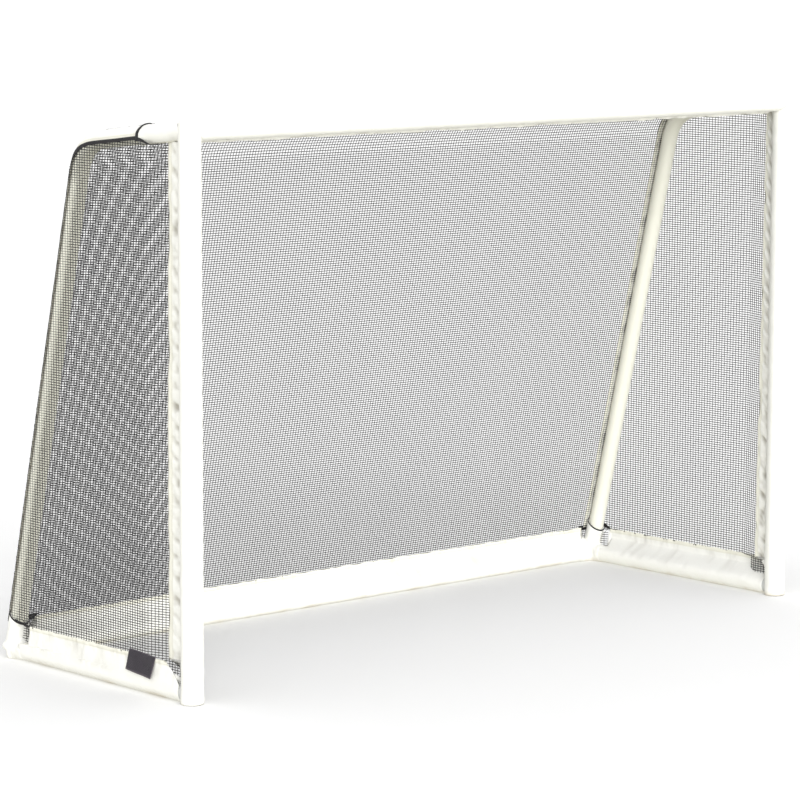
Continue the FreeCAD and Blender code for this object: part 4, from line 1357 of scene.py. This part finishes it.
net = {
    "cord": 0.00084,              # half the thickness of a strand
    "backPitch": (0.0079, 0.00555),    # across, down
    "sidePitch": (0.0090, 0.0055),     # to the rear, up
    "backSag": 0.002,
    "sideSag": 0.0015,
    "drift": 0.00015,
    "lift": 0.0006,               # of the cords' middle over the tubes' liner
    "hidden": 0.004,              # how far the back net ends short of the post's axis
    "roofStart": 0.034,           # its start behind the crossbar's sleeve
    "frontLap": 0.002,            # how far the side net runs in under the post's flange
    "fold": 0.059,                # distance over which it comes out to the side tube's liner
    "notchFall": 0.95,            # share of that it gives up again behind the band's rear end
    "footStart": 0.035,           # height of the net's lower end beside the post
    "footSpan": (-0.034, 0.022),  # its reach there, from the net's front
    "tight": {"left": 0.5, "right": 1.0},   # width of the cords over the backstay, as a share of the full one
    "sideShare": 0.72,            # the side net's share of the rectangle round it
}


def strandMesh(name, families, nodes, flat, area=None):
    # Net of thin four-sided cords; a family is points, normals and fineness with one row per strand.
    points, faces, count = [], [], 0
    for lines, normals, fine in families:
        ahead = np.gradient(lines, axis=1)
        ahead /= np.linalg.norm(ahead, axis=-1, keepdims=True)
        beside = np.cross(ahead, normals)
        normals, beside = normals * fine[..., None], beside * fine[..., None]
        ring = np.stack([normals, beside, -normals, -beside], 2) * net["cord"]
        number, steps = lines.shape[:2]
        starts = (np.arange(number) * steps * 4)[:, None, None]
        points.append((lines[:, :, None, :] + ring).reshape(-1, 3))
        faces.append((gridFaces(steps, 4, True) + starts).reshape(-1, 4) + count)
        count += len(points[-1])
    piece = addPiece(name, np.concatenate(points), np.concatenate(faces), "black_mesh", nodes, flip=False)


def hump(value, low, high):
    # 0 at low and at high, 1 half way.
    return np.sin(math.pi * np.clip((value - low) / (high - low), 0, 1))


def span(low, high, count):
    return low + (high - low) * np.linspace(0, 1, count)[None, :]


def backNet():
    half = postX - net["hidden"]
    first = mainCover + net["roofStart"]
    last = backRun(bandTop - 0.002)

    def place(x, run):
        x, run = np.broadcast_arrays(x, run)
        centre, out, along = sideFrame(run)
        sag = net["backSag"] * np.sin(math.pi * (x / half + 1) / 2) * hump(run, first, last)
        wave = net["drift"] * (np.sin(x * 9 + run * 5) + np.sin(run * 13 - x * 4))
        points = centre + out * (sideLiner + net["lift"] - sag)[..., None] + along * wave[..., None] * 0.5
        points[..., 0] = x + wave * 0.6
        return points, out, np.ones(x.shape)

    bends = [np.linspace(first, bendStart, 6)[:-1], np.linspace(bendStart, bendEnd, 14)[:-1],
             np.linspace(bendEnd, last, 18)]
    families = [place(np.linspace(-half, half, 26), np.arange(first, last, net["backPitch"][1])[:, None]),
                place(np.arange(-half, half, net["backPitch"][0])[:, None], np.concatenate(bends))]
    # Small nets fill the notches beside the corner pockets.
    low, high = backRun(bandTop + 0.001), backRun(baseZ + sideCover + goal["gap"])
    levels = np.arange(low, high, net["backPitch"][1])[:, None]
    for side, sign in sides:
        inner, outer = postX - band["rearNotch"][side] - 0.006, postX - 0.008
        families.append(place(sign * np.linspace(inner, outer, 4), levels))
        columns = np.arange(inner + 0.003, outer, net["backPitch"][0])[:, None]
        families.append(place(sign * columns, np.linspace(low, high, 4)))
    strandMesh("back_net", families, ["back_mesh"], (2 * half, high - first))


def sideNet(side, sign):
    front = frontY + cover["postFlange"] - net["frontLap"]
    runs = np.concatenate([[cuff["mouthTop"]], np.linspace(bendStart, bendEnd, 30),
                           [backRun(0.0445, strip["backSeam"])]])
    share = ramp(runs, bendStart, bendEnd)
    offset = -strip["roofSeam"] * (1 - share) + strip["backSeam"] * share
    seam, out, _ = sideFrame(runs)
    seam = seam + out * offset[:, None]
    underY = np.array([front, frontY + 0.120])
    underZ = topZ - (underY - frontY) * math.tan(slope) - (sideCover + 0.001) / math.cos(slope)
    edgeY, edgeZ = np.append(underY, seam[:, 1]), np.append(underZ, seam[:, 2])
    keep = np.concatenate([[True], np.diff(np.maximum.accumulate(edgeY)) > 0])
    pocketTop = baseZ + sideCover + goal["gap"]
    notch = rearY - band["notch"][side] - 0.003
    bandLap = bandTop - 0.001

    def top(y):
        return np.interp(y, edgeY[keep], edgeZ[keep])

    def stayFront(z):
        return rearY - (z - baseZ) * math.tan(lean) - sideCover / math.cos(lean)

    def place(y, z):
        y, z = np.broadcast_arrays(y, z)
        outward = (sideLiner + net["lift"]) * np.clip((y - front) / net["fold"], 0, 1)
        behind = ramp(bandTop + 0.002 - z, 0, 0.012) * ramp(y, notch - 0.010, notch + 0.006)
        outward = outward * (1 - net["notchFall"] * behind)
        y = y + (hemAt(side, z) - cover["postFlange"]) * (1 - np.clip((y - front) / 0.25, 0, 1))
        sag = net["sideSag"] * hump(y, front, front + 0.45) * hump(z, 0, 1.15)
        wave = net["drift"] * (np.sin(z * 11 + y * 6) + np.sin(y * 17 - z * 5))
        y, z = y + wave * 0.5, z + wave * 0.5
        points = spread(sign * (postX + outward - sag), y, z)
        # Cords drawn tight over the backstay lie flat and look finer.
        over = ramp(y - stayFront(z), 0.0, 0.006) * ramp(z, 1.10, 1.06)
        normals = np.broadcast_to((float(sign), 0, 0), points.shape)
        return points, normals, 1 - (1 - net["tight"][side]) * over

    def levelsTo(low, high):
        return np.arange(low, high, net["sidePitch"][1])[:, None]

    def columnsTo(low, high):
        return np.arange(low, high, net["sidePitch"][0])[:, None]

    levels = levelsTo(bandLap, top(front) - 0.001)
    reach = np.where(levels < seam[0, 2], np.interp(-levels, -seam[:, 2], seam[:, 1]),
                     front + (top(front) - levels) / math.tan(slope))
    overMouth = levels > top(cuff["mouthTop"] + frontY)
    reach = np.where(overMouth, np.interp(-levels, -edgeZ[keep], edgeY[keep]), reach)
    long = reach[:, 0] > front + 0.004
    families = [place(span(front, reach[long], 40), levels[long])]
    columns = columnsTo(front, edgeY.max() - 0.001)
    bottom = np.where(columns > notch, pocketTop, bandLap)
    past = columns - stayFront(bandTop)
    bottom = np.where(past > 0, pocket["mouthFront"] + 0.4 * past, bottom)
    high = top(columns)
    tall = (high - bottom)[:, 0] > 0.004
    families.append(place(columns[tall], span(bottom[tall], high[tall], 16)))
    levels = levelsTo(pocketTop, bandTop - 0.002)
    families.append(place(span(notch, stayFront(levels), 4), levels))
    # Beside the post the net runs on down behind the flange's foot.
    first, last = (front + reach for reach in net["footSpan"])
    families.append(place(span(first, last, 4), levelsTo(net["footStart"], bandTop - 0.002)))
    families.append(place(columnsTo(first - 0.002, last), span(net["footStart"], bandTop, 4)))
    width, height = edgeY.max() - front, top(front) - bandTop
    strandMesh(f"{side}_side_net", families, [f"{side}_side_mesh"], (width, height),
               width * height * net["sideShare"])


backNet()
for side, sign in sides:
    sideNet(side, sign)
print("nets made")


# Finishes of the hard parts, by the words in their names

hardSlots = (
    ("spring", "spring_steel"), ("button", "button_steel"), ("coupler", "zinc_steel"),
    ("foot", "foot_rubber"), ("top_corner", "corner_plastic"), ("elbow", "corner_plastic"),
    ("rear_corner", "corner_plastic"), ("", "white_tube"),
)
for name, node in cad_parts.items():
    slot = next(slot for word, slot in hardSlots if word in name)
    for held in node.material_slots:
        held.material = finishes[slot]
print("hard parts finished")
